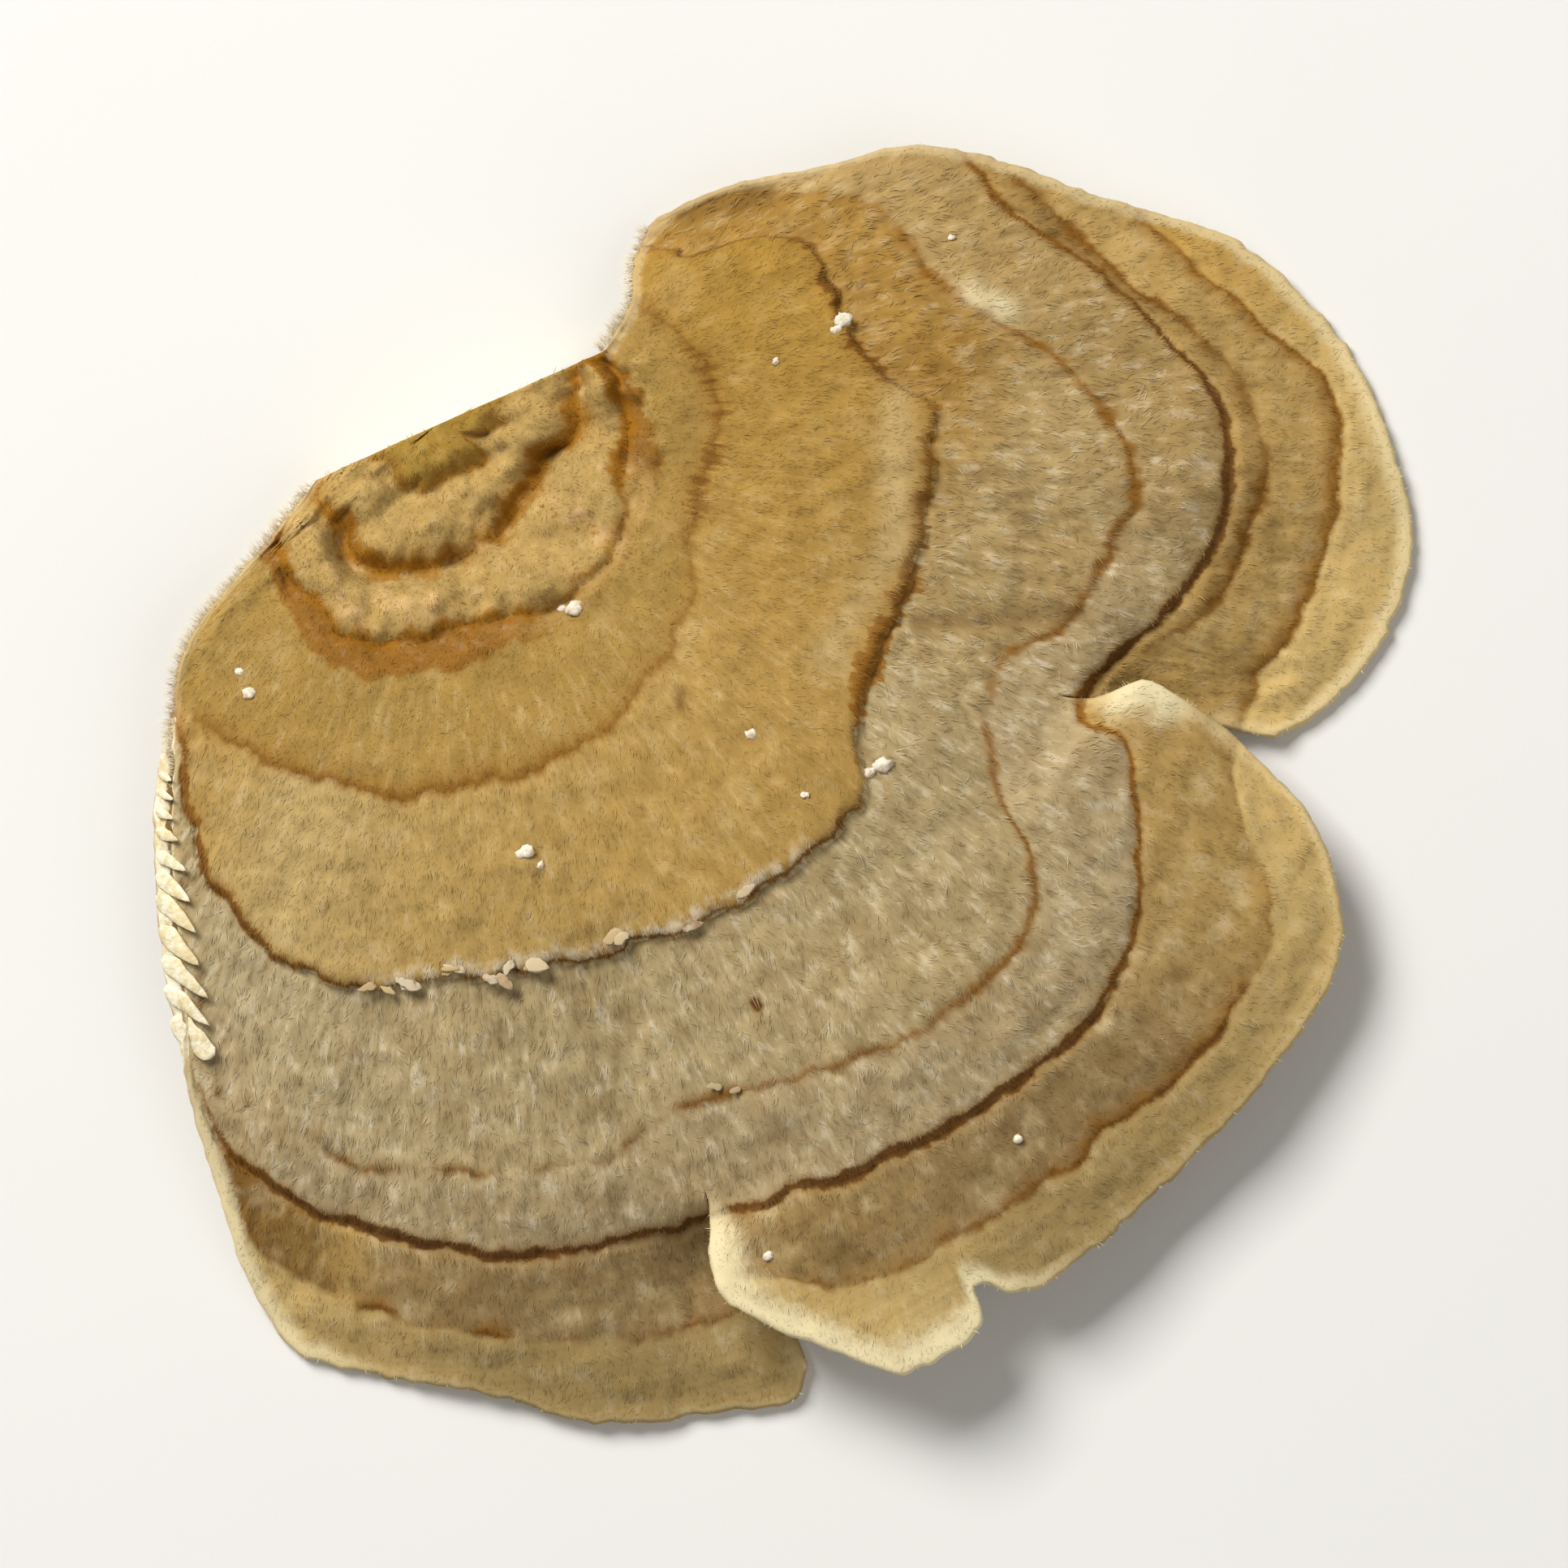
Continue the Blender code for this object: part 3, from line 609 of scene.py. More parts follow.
@dataclass(frozen=True)
class CapForm:
    """The cap's heights and thickness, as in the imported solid, with finer relief on the felt."""

    crown: Course = Course(((0, 1.2), (3, 1.1), (7, 2), (12, 3.6), (18, 4.6), (23, 4.6), (28, 3.9),
        (34, 3)))
    margin_fall: Course = Course(((-43, 2), (-30, 3), (-15, 3.4), (2, 3.4), (9, 3.3), (16, 2.8), (24, 1.4),
        (34, 0.9), (48, 0.7), (62, 0.7), (72, 1.8), (84, 2.9), (97, 3.4), (108, 3), (125, 2.3), (140, 1.2),
        (148, 0.4), (156, 0)))
    fall_starts: float = 0.3
    fall_power: float = 1.2
    # The fan's whole reach, and the bearings past which the outer lobes' margins don't narrow it
    full_reach: float = 31.0
    right_until: float = 7.5
    left_from: float = 84.0
    # Valleys from the slits: where they start, over what they deepen; bearing, depth, half width
    pleats_start: float = 10.0
    pleats_over: float = 12.0
    pleats: tuple[tuple[float, float, float], ...] = ((RIGHT_SLIT, 1.0, 8.0), (LEFT_SLIT, 0.7, 7.0))
    # Radial folds: where they start, over what they grow; waves to a radian, height, phase
    folds_start: float = 8.0
    folds_over: float = 16.0
    folds: tuple[tuple[float, float, float], ...] = ((13.0, 0.16, 0.8), (29.0, 0.1, 0.0))
    lumps: Course = Course(((0, 0), (1, 0), (3, 0.5), (5, 1), (7, 1), (8.5, 0.5), (10, 0)))
    lump_height: float = 0.12
    margin_thickness: float = 0.55
    thickness_course: Course = Course(((0, 2.4), (4, 2.1), (9, 1.6), (16, 1.3), (26, 1), (34, 0.8)))
    rim_width: float = 1.6
    # The torn stretch of the left edge: where it eases in and out, and how far in its slope reaches
    torn_in: tuple[float, float] = (109.0, 6.0)
    torn_out: tuple[float, float] = (126.0, 9.0)
    torn_slant: float = 1.2
    # The felt's swell by stage, without its furrows and its ledge
    swell: Course = Course(((0, 0.22), (0.55, 0.2), (1, -0.12), (1.5, 0.22), (2, -0.16), (2.5, 0.28),
        (3, 0.04), (3.25, -0.14), (3.5, 0), (4, -0.02), (4.5, 0.02), (5, 0.08), (5.5, 0.24), (5.85, 0.31),
        (6, 0.28), (6.5, 0.3), (7, 0.26), (7.5, 0.27), (8, 0.26)))
    ledge: float = 0.32
    # The felt lies this much below the solid, so that its hairs reach the solid's surface
    nap: float = 0.06
    # Its relief dies away over this much at an edge
    relief_end: float = 0.7

    def reach(self, base: Array) -> Array:
        """How far the whole fan reaches: the least of the outer lobes' margins and a circle.

        Args:
            base: the rays' bearings.

        Returns:
            The reach of each ray.
        """
        right = RIGHT_LOBE.margin.at(np.minimum(base, self.right_until))
        left = LEFT_LOBE.margin.at(np.maximum(base, self.left_from))
        return np.minimum(np.minimum(right, left), self.full_reach)

    def middle(self, lobe: Lobe, base: Array, distance: Array) -> Array:
        """Height of the middle surface.

        It is the crown by distance, less the fall towards the margin, which eases in with the share
        of the ray's reach, less a bell across each slit's bearing, plus two sine folds and the lobe's
        own lift.

        Args:
            lobe: the lobe the rays belong to.
            base: the rays' bearings.
            distance: distances from the centre.

        Returns:
            Heights above the level the bracket rests on.
        """
        height = self.crown.at(distance)
        share = ease((distance / self.reach(base) - self.fall_starts) / (1 - self.fall_starts))
        height = height - self.margin_fall.at(base) * share**self.fall_power
        deep = ease((distance - self.pleats_start) / self.pleats_over)
        for bearing, depth, width in self.pleats:
            height = height - depth * deep * bell(base - bearing, width)
        grown = ease((distance - self.folds_start) / self.folds_over)
        for waves, fold_height, phase in self.folds:
            height = height + fold_height * grown * np.sin(np.radians(base) * waves + phase)
        return height + lobe.lift(base, distance)

    def torn(self, base: Array) -> Array:
        """1 along the stretch of the left edge that is torn open, 0 elsewhere."""
        (start, rising), (end, falling) = self.torn_in, self.torn_out
        return ease((base - start) / rising) * (1 - ease((base - end) / falling))

    def torn_height(self, base: Array, distance: Array) -> Array:
        """Height of the left edge where it is torn: the cap's top, then a slope down to its underside.

        Args:
            base: the rays' bearings.
            distance: distances from the centre.

        Returns:
            Heights above the level the bracket rests on.
        """
        outline = LEFT_LOBE.outline(base)
        half = self.thickness(LEFT_LOBE, base, distance, outline) / 2
        down = np.clip((distance - outline + self.torn_slant) / self.torn_slant, 0, 1)
        return self.middle(LEFT_LOBE, base, distance) + half * (1 - 2 * down)

    def back_gap(self, base: Array, distance: Array) -> Array:
        """Distance along a ring to the free back edge of the ear."""
        return distance * np.radians(base - EAR_BACK_BEARING.at(distance))

    def thickness(self, lobe: Lobe, base: Array, distance: Array, outline: Array) -> Array:
        """Thickness: the course by distance, eased down to the margin's over a rim's width.

        Args:
            lobe: the lobe the rays belong to.
            base: the rays' bearings.
            distance: distances from the centre.
            outline: how far the rays run.

        Returns:
            The thickness at each point.
        """
        full = self.thickness_course.at(distance)
        past_cut = ease(distance - CUT_REACH_RIGHT + 0.5)
        free_back = past_cut * (1 - ease(self.back_gap(base, distance) / self.rim_width))
        whole = np.maximum(ease((outline - distance) / self.rim_width), self.torn(base))
        whole = whole * (1 - free_back) * (1 - lobe.side_edge(base, distance))
        return self.margin_thickness + (full - self.margin_thickness) * whole

    def felt_relief(self, base: Array, distance: Array, stage: Array, marks: Marks) -> Array:
        """Relief of the felt above the smooth cap.

        The swell by stage, a drop at the ledge, a bell-shaped furrow along each growth line, lumps
        round the centre, and low noise: lumpy everywhere and drawn out along the rays further out.
        Swell and drop are low where the margin is near.

        Args:
            base: the rays' bearings.
            distance: distances from the centre.
            stage: growth stages.
            marks: the growth lines' marks, as sheet gives them.

        Returns:
            Heights to add.
        """
        x, y = place(base, distance)
        reach = self.reach(base)
        short = (1 - ramp(reach, 5.0, 10.0)) * ramp(distance, 1.0, 3.0)
        relief = self.swell.at(stage) * (1 - 0.7 * short)
        edge = marks[LINE_AT[5.0].mark][..., 0]
        room = ramp(reach - LINE_AT[5.0].course.at(base), 0.8, 4.0)
        relief = relief - self.ledge * room * ramp(edge, -0.04, 0.14)
        lip = bell(edge + 0.28, 0.26) * (0.6 + 0.6 * cloud(base * 0.8, distance * 0.3, 31))
        relief = relief + 0.07 * lip
        for line in LINES:
            offset, ink, _, _ = np.moveaxis(marks[line.mark], -1, 0)
            broken = ink + 0.35 * cloud(base * 0.6 * line.pace, 0 * base, 40 + round(line.stage * 2))
            broken = np.clip(broken, 0, 1.6)
            relief = relief - line.groove * broken * bell(offset - 0.5 * line.spread, line.spread)
        turns = np.sin(np.radians(base) * 9.0 + 2.0 * distance)
        relief = relief + self.lump_height * turns * self.lumps.at(distance)
        inner = 1 - ramp(distance, 6.5, 8.5)
        knobs = cloud(x / 1.0, y / 1.0, 3, 2) * 0.2 + np.abs(cloud(x / 0.55, y / 0.55, 4)) * 0.14
        relief = relief + inner * knobs * ramp(distance, 0.3, 1.5)
        for stain in STAINS_AND_SHADE:
            relief = relief - stain.depth * stain.at(x, y)
        ripples = cloud(base * 0.05, distance / 1.1, 6, 2) * ramp(distance, 7.0, 9.0)
        relief = relief + 0.04 * ripples + 0.06 * self.tufts(base, distance)
        return relief + 0.03 * cloud(x / 1.6, y / 1.6, 5, 2)

    def tufts(self, base: Array, distance: Array) -> Array:
        """Pattern of the hairs' tufts, from about -1.5 to 1.5.

        Round lumps near the centre change to lumps drawn out along the rays further out, each a few
        tenths of a millimetre wide.

        Args:
            base: the rays' bearings.
            distance: distances from the centre.

        Returns:
            The pattern's value at each point.
        """
        x, y = place(base, distance)
        round_ones = cloud(x / 0.42, y / 0.42, 8, 2)
        near = cloud(base * 0.65, distance / 0.5, 9, 2)
        far = cloud(base * 1.1, distance / 0.6, 10, 2)
        outwards = ramp(distance, 8.0, 12.0)
        pattern = round_ones * (1 - outwards) + near * outwards
        beyond = ramp(distance, 15.5, 18.0)
        return pattern * (1 - beyond) + far * beyond


@dataclass
class Sheet:
    """A grid of points, rays by rows, with the marks that its finish reads.

    Attributes:
        points: the points.
        marks: three or four numbers a point, by name.
    """

    points: Array
    marks: Marks = field(default_factory=dict)

    def part(self, chosen: object) -> "Sheet":
        """The points that an index expression picks."""
        return Sheet(self.points[chosen], {name: mark[chosen] for name, mark in self.marks.items()})

    def flat(self) -> "Sheet":
        """The points in one line."""
        marks = {name: mark.reshape(-1, mark.shape[-1]) for name, mark in self.marks.items()}
        return Sheet(self.points.reshape(-1, 3), marks)

    def spread(self, count: int) -> Marks:
        """The marks of a line of points, count times along a new second axis."""
        return {name: np.repeat(mark[:, None], count, axis=1) for name, mark in self.marks.items()}

    @staticmethod
    def joined(sheets: Sequence["Sheet"]) -> "Sheet":
        """Several lines of points as one."""
        marks = {name: np.concatenate([sheet.marks[name] for sheet in sheets]) for name in sheets[0].marks}
        return Sheet(np.concatenate([sheet.points for sheet in sheets]), marks)


# By bearing: how warm the margin is, how ochre the outer zones are, how pale the inner ones are, and
# how wide the pale rim is
MARGIN_WARMTH = Course(((-43, 1.5), (-24, 1.9), (-10, 1.6), (-2, 1), (5, 0.85), (12, 1), (22, 1), (30, 0.7),
    (36, 0.45), (44, 0.25), (52, 0.2), (60, 0.5), (69, 0.6), (72, 0.15), (85, 0.15), (95, 0.4), (102, 0.85),
    (110, 0.7), (156, 0.6)))
OCHRE_TINT = Course(((-43, 1.2), (-22, 1.1), (-10, 1), (2, 1), (12, 1), (20, 1), (30, 0.9), (36, 0.4),
    (43, 0.1), (54, 0.05), (62, 0.35), (70, 0.25), (80, 0), (93, 0.3), (98, 1.5), (106, 2), (156, 1.6)))
PALENESS = Course(((-43, 0), (-10, 0.1), (20, 0.2), (45, 0.35), (66, 0.4), (90, 0.55), (110, 0.9),
    (118, 0.6), (126, 0.3)))
RIM = Course(((-43, 0.3), (-33, 0.3), (-20, 0.4), (-8, 0.5), (5, 0.5), (13, 0.5), (20, 0.45), (23.4, 0.35),
    (31, 0.2), (50, 0.15), (55, 0.5), (58, 0.9), (62, 1.1), (67, 1.2), (70.6, 0.9), (70.8, 0.15),
    (84, 0.12), (93, 0.18), (97, 0.55), (103, 0.75), (108, 0.65), (114, 0.3), (130, 0.2), (140, 0.3),
    (156, 0.3)))


@dataclass(frozen=True)
class Fan:
    """Lays sheets of points over a lobe's rays.

    Attributes:
        form: the cap's heights.
        least_share: least width of a zone, as a share of its even width.
        full_grown: least distance from the last line to the margin in counting stages.
        rough_margin: how rough the margin is.
        inset: how far the sheets stay inside the visible edge, which bulges.
        wiggle: how far the lines stray from their courses.
        sway: how far the three lines round the centre swing besides.
    """

    form: CapForm = CapForm()
    least_share: float = 0.35
    full_grown: float = 1.2
    rough_margin: float = 0.07
    inset: float = 0.1
    wiggle: float = 0.16
    sway: float = 0.3

    @property
    def knots(self) -> Array:
        """Stages of the centre, the growth lines that shape the felt, and the margin."""
        return np.array([0.0] + [line.stage for line in SHAPING_LINES] + [LAST_STAGE])

    def outline(self, lobe: Lobe, base: Array) -> Array:
        """The lobe's outline, a little inside the solid's and slightly rough."""
        ragged = cloud(base * 1.4, 0 * base, 11, 3)
        return lobe.outline(base) - self.inset + self.rough_margin * ragged

    def distances(self, base: Array, end: Array, stages: Array) -> Array:
        """Distance of each stage on each ray.

        The growth lines are knots, with lines that the ray doesn't reach packed near its end, and
        stages between two lines lie in proportion. A ray of the ear starts on its free back edge.

        Args:
            base: the rays' bearings.
            end: how far the rays run.
            stages: the rows' stages.

        Returns:
            Distances, rays by rows.
        """
        in_ear = base < CUT_RIGHT_BEARING
        first_stage = np.where(in_ear, EAR_STAGE, 0.0)
        inner = np.where(in_ear, EAR_BACK.at(base), 0.0)
        packed = self.least_share * (end - inner) / (LAST_STAGE - first_stage)
        knots = self.knots
        lines = np.array([inner] + [line.course.at(base) for line in SHAPING_LINES] + [end])
        for k, stage in enumerate(knots):
            lowest = inner + np.maximum(stage - first_stage, 0) * packed
            lines[k] = np.clip(lines[k], lowest, end - (LAST_STAGE - stage) * packed)
            lines[k] = np.where(stage <= first_stage, inner, lines[k])
        k = np.clip(np.searchsorted(knots, stages, side="right") - 1, 0, len(knots) - 2)
        share = (stages - knots[k]) / (knots[k + 1] - knots[k])
        return (lines[k] * (1 - share)[:, None] + lines[k + 1] * share[:, None]).T

    def true_stage(self, base: Array, distance: Array, outline: Array) -> Array:
        """Growth stage of points: each pair of neighbouring lines adds its share of stages.

        Args:
            base: the rays' bearings.
            distance: distances from the centre.
            outline: how far the rays run.

        Returns:
            The stage of each point.
        """
        knots = self.knots
        lines = [0 * base] + [line.course.at(base) for line in SHAPING_LINES]
        lines.append(np.maximum(outline, lines[-1] + self.full_grown))
        stage = 0 * distance
        for k in range(len(knots) - 1):
            share = (distance - lines[k][:, None]) / (lines[k + 1] - lines[k])[:, None]
            stage = stage + (knots[k + 1] - knots[k]) * np.clip(share, 0, 1)
        return stage

    def sheet(self, lobe: Lobe, base: Array, stages: Array, upper: bool) -> Sheet:
        """One side of a lobe: middle surface plus or minus half the thickness, and the felt's relief.

        Args:
            lobe: the lobe.
            base: bearings of its rays.
            stages: the rows' stages.
            upper: the felted side, not the pore side.

        Returns:
            The points with their marks, rays by rows.
        """
        form = self.form
        outline = self.outline(lobe, base)
        end = outline - (form.torn_slant * form.torn(base) if upper else 0.0)
        distance = self.distances(base, end, stages)
        ray = np.repeat(base[:, None], len(stages), axis=1)
        rim = outline[:, None]
        stage = self.true_stage(base, distance, outline)
        marks = self.marks(lobe, ray, distance, end[:, None])
        thickness = form.thickness(lobe, ray, distance, rim)
        middle = np.maximum(form.middle(lobe, ray, distance), thickness / 2)
        if upper:
            relief = form.felt_relief(ray, distance, stage, marks)
            relief = relief * ease((end[:, None] - distance) / form.relief_end)
            height = middle + thickness / 2 + relief - lobe.pit(ray, distance) - form.nap
        else:
            height = middle - thickness / 2
        x, y = place(lobe.bearing(ray, distance), distance)
        on_cut = (ray == CUT_RIGHT_BEARING) | (ray == CUT_LEFT_BEARING)
        return Sheet(np.stack([x, np.where(on_cut, 0.0, y), height], axis=-1), marks)

    def marks(self, lobe: Lobe, ray: Array, distance: Array, end: Array) -> Marks:
        """What the finishes read at each point.

        ray holds the bearing in radians, the distance and the tufts' pattern; edge the distance to the
        nearest edge, the pale rim's width and how far down the rim a point lies; tone how warm the
        margin is, how ochre the outer zones are and how pale the inner ones; hair three zeros; stain
        how brown the stains and the painted shade in the pit are, and two zeros; and each growth line
        the distance past it, its ink, its teeth and its warmth.

        Args:
            lobe: the lobe.
            ray: the rays' bearings.
            distance: distances from the centre.
            end: how far the rays run.

        Returns:
            Marks by name, each with three or four numbers a point.
        """
        nothing = 0 * distance
        x, y = place(ray, distance)
        side_gap, side_rim = lobe.side_gap(ray, distance)
        beside = ramp(end - distance - side_gap, -0.4, 0.4)
        to_edge = np.minimum(end - distance, side_gap)
        back = np.where(distance > CUT_REACH_RIGHT, self.form.back_gap(ray, distance), FAR)
        to_edge = np.minimum(to_edge, np.maximum(back, 0.0) + 0 * distance)
        marks = {
            "ray": (np.radians(ray), distance, self.form.tufts(ray, distance)),
            "edge": (to_edge, RIM.at(ray) * (1 - beside) + side_rim * beside, nothing),
            "tone": (MARGIN_WARMTH.at(ray), OCHRE_TINT.at(ray), PALENESS.at(ray)),
            "hair": (nothing, nothing, nothing),
            "stain": (sum(stain.strength * stain.at(x, y) for stain in STAINS_AND_SHADE), nothing, nothing),
        }
        for line in LINES:
            wander = self.wiggle * cloud(ray * 0.45 * line.pace, nothing, 60 + round(line.stage * 2), 3)
            if line.stage <= 3.0:
                wander = wander + self.sway * cloud(ray / 17.0, nothing, 80 + round(line.stage), 2)
            offset = distance - line.course.at(ray) + wander
            marks[line.mark] = (offset, line.ink.at(ray), line.teeth.at(ray), line.warm.at(ray))
        return {name: np.stack(numbers, axis=-1) for name, numbers in marks.items()}


class Skin(Enum):
    """Which finish a face of the cap wears, by its place among the mesh's materials."""

    FELT = 0
    PORES = 1
    FLESH = 2


@dataclass
class Edge:
    """A line of points on the boundary of a side.

    Attributes:
        line: the points.
        numbers: their numbers in the shell.
        where: how far along each lies, from 0 to 1 for each stretch of the boundary.
    """

    line: Sheet
    numbers: Numbers
    where: Array

    def turned(self) -> "Edge":
        """The same points in the opposite order."""
        return Edge(self.line.part(np.s_[::-1]), self.numbers[::-1], 1 - self.where[::-1])

    @staticmethod
    def joined(edges: Sequence["Edge"]) -> "Edge":
        """Stretches that follow each other as one, with the points where they meet taken once.

        Args:
            edges: the stretches.

        Returns:
            The whole edge.
        """
        rest = [np.s_[min(k, 1) :] for k in range(len(edges))]
        return Edge(
            Sheet.joined([edge.line.part(chosen) for edge, chosen in zip(edges, rest)]),
            np.concatenate([edge.numbers[chosen] for edge, chosen in zip(edges, rest)]),
            np.concatenate([k + edge.where[rest[k]] for k, edge in enumerate(edges)]),
        )


@dataclass
class Patch:
    """One side of a lobe in the shell: its points, their numbers and the stages of its rows."""

    sheet: Sheet
    numbers: Numbers
    stages: Array

    def ray(self, index: int, start: float, end: float = LAST_STAGE) -> Edge:
        """The points of a ray between two stages, outwards.

        Args:
            index: which ray.
            start: stage of its first point.
            end: stage of its last.

        Returns:
            The line of points.
        """
        rows = np.flatnonzero((self.stages >= start) & (self.stages <= end))
        where = (self.stages[rows] - start) / (end - start)
        return Edge(self.sheet.part(np.s_[index, rows]), self.numbers[index, rows], where)

    def ring(self, index: int) -> Edge:
        """The points of a row, clockwise."""
        where = np.linspace(0, 1, len(self.numbers))
        return Edge(self.sheet.part(np.s_[:, index]), self.numbers[:, index], where)


class Shell:
    """Collects grids of points and the faces between them, and makes one closed mesh of them."""

    def __init__(self) -> None:
        """Start with nothing."""
        self.sheets: list[Sheet] = []
        self.faces: list[list[int]] = []
        self.skins: list[Array] = []
        self.total = 0

    def add(self, sheet: Sheet) -> Numbers:
        """Take in a sheet's points.

        Args:
            sheet: the points.

        Returns:
            Their numbers, in the same shape.
        """
        shape = sheet.points.shape[:-1]
        self.sheets.append(sheet.flat())
        numbers = np.arange(self.total, self.total + int(np.prod(shape))).reshape(shape)
        self.total += numbers.size
        return numbers

    def keep(self, corners: Numbers, skin: Union[Skin, Array]) -> None:
        """Add faces.

        Args:
            corners: one row of point numbers for each.
            skin: one finish for all, or one for each.
        """
        self.faces += corners.tolist()
        values = skin.value if isinstance(skin, Skin) else skin
        self.skins.append(np.zeros(len(corners)) + values)

    def grid(self, numbers: Numbers, skin: Union[Skin, Array]) -> None:
        """Add a four-cornered face between each two neighbours both ways."""
        corners = [numbers[:-1, :-1], numbers[:-1, 1:], numbers[1:, 1:], numbers[1:, :-1]]
        self.keep(np.stack(corners, axis=-1).reshape(-1, 4), skin)

    def bands(self, numbers: Numbers, bands: Sequence[tuple[int, int]], skin: Skin) -> None:
        """Add the faces of a side whose inner rows use only some of the rays.

        Where a finer band follows, each face of the last row before it has a corner for every ray of
        the finer band, so that the two meet without gaps.

        Args:
            numbers: the side's numbers, rays by rows.
            bands: for each band its last row, and every how many rays it uses.
            skin: the faces' finish.
        """
        start = 0
        for k, (last, step) in enumerate(bands):
            used = numbers[::step, start : last + 1]
            finer = bands[k + 1][1] if k + 1 < len(bands) else step
            if finer == step:
                self.grid(used, skin)
            else:
                self.grid(used[:, :-1], skin)
                count = len(used) - 1
                outer = [numbers[n * finer :: step, last][:count] for n in range(step // finer + 1)]
                self.keep(np.stack([used[:-1, -2]] + outer + [used[1:, -2]], axis=-1), skin)
            start = last

    def strip(self, first: Edge, second: Edge, skin: Skin) -> None:
        """Add triangles between two lines that may have different numbers of points.

        Taken in the order in which they end, each step of either line makes a triangle with the point
        that the other line has reached.

        Args:
            first: one line.
            second: the other, from and to the same values of where.
            skin: the faces' finish.
        """
        t, s = first.where, second.where
        a, b = first.numbers, second.numbers
        reached = np.clip(np.searchsorted(s, t[1:], side="left") - 1, 0, len(s) - 1)
        self.keep(np.stack([a[:-1], b[reached], a[1:]], axis=-1), skin)
        reached = np.clip(np.searchsorted(t, s[1:], side="right") - 1, 0, len(t) - 1)
        self.keep(np.stack([a[reached], b[:-1], b[1:]], axis=-1), skin)

    def build(self, name: str, materials: Sequence[Material], join: float) -> Piece:
        """Make the mesh, and join the points that coincide.

        Args:
            name: the object's name.
            materials: the finishes, in the order of Skin.
            join: points closer than this, in millimetres, become one.

        Returns:
            The finished object, linked to the scene.
        """
        piece = made(name, Sheet.joined(self.sheets), self.faces, materials)
        skins = np.concatenate(self.skins).astype(np.int32)
        piece.data.polygons.foreach_set("material_index", skins)
        return cleaned(piece, join)


def made(
    name: str, whole: Sheet, faces: Sequence[Sequence[int]], materials: Sequence[Material]
) -> Piece:
    """An object of points in millimetres about the growth centre, with its marks as attributes.

    Args:
        name: the object's name.
        whole: its points and their marks.
        faces: the corners of each face.
        materials: its finishes.

    Returns:
        The object, linked to the scene.
    """
    mesh = bpy.data.meshes.new(name)
    mesh.from_pydata(((whole.points + CENTRE) * MM).tolist(), [], faces)
    for mark, values in whole.marks.items():
        kind, slot = ("FLOAT_VECTOR", "vector") if values.shape[-1] == 3 else ("FLOAT_COLOR", "color")
        layer = mesh.attributes.new(mark, kind, "POINT")
        layer.data.foreach_set(slot, values.astype(np.float32).ravel())
    for material in materials:
        mesh.materials.append(material)
    mesh.shade_smooth()
    piece = bpy.data.objects.new(name, mesh)
    bpy.context.scene.collection.objects.link(piece)
    return piece


def cleaned(piece: Piece, join: float = 0.0) -> Piece:
    """Join points that coincide, and turn the faces of closed shapes outwards.

    Args:
        piece: the object.
        join: points closer than this, in millimetres, become one. 0 joins none.

    Returns:
        The same object.
    """
    working = bmesh.new()
    working.from_mesh(piece.data)
    if join:
        bmesh.ops.remove_doubles(working, verts=working.verts, dist=join * MM)
    bmesh.ops.recalc_face_normals(working, faces=working.faces)
    working.to_mesh(piece.data)
    working.free()
    return piece


def fit(piece: Piece) -> Piece:
    """Fix a piece to the frame: it rides on the root body.

    Args:
        piece: the object.

    Returns:
        The same object.
    """
    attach(piece, "root")
    return piece


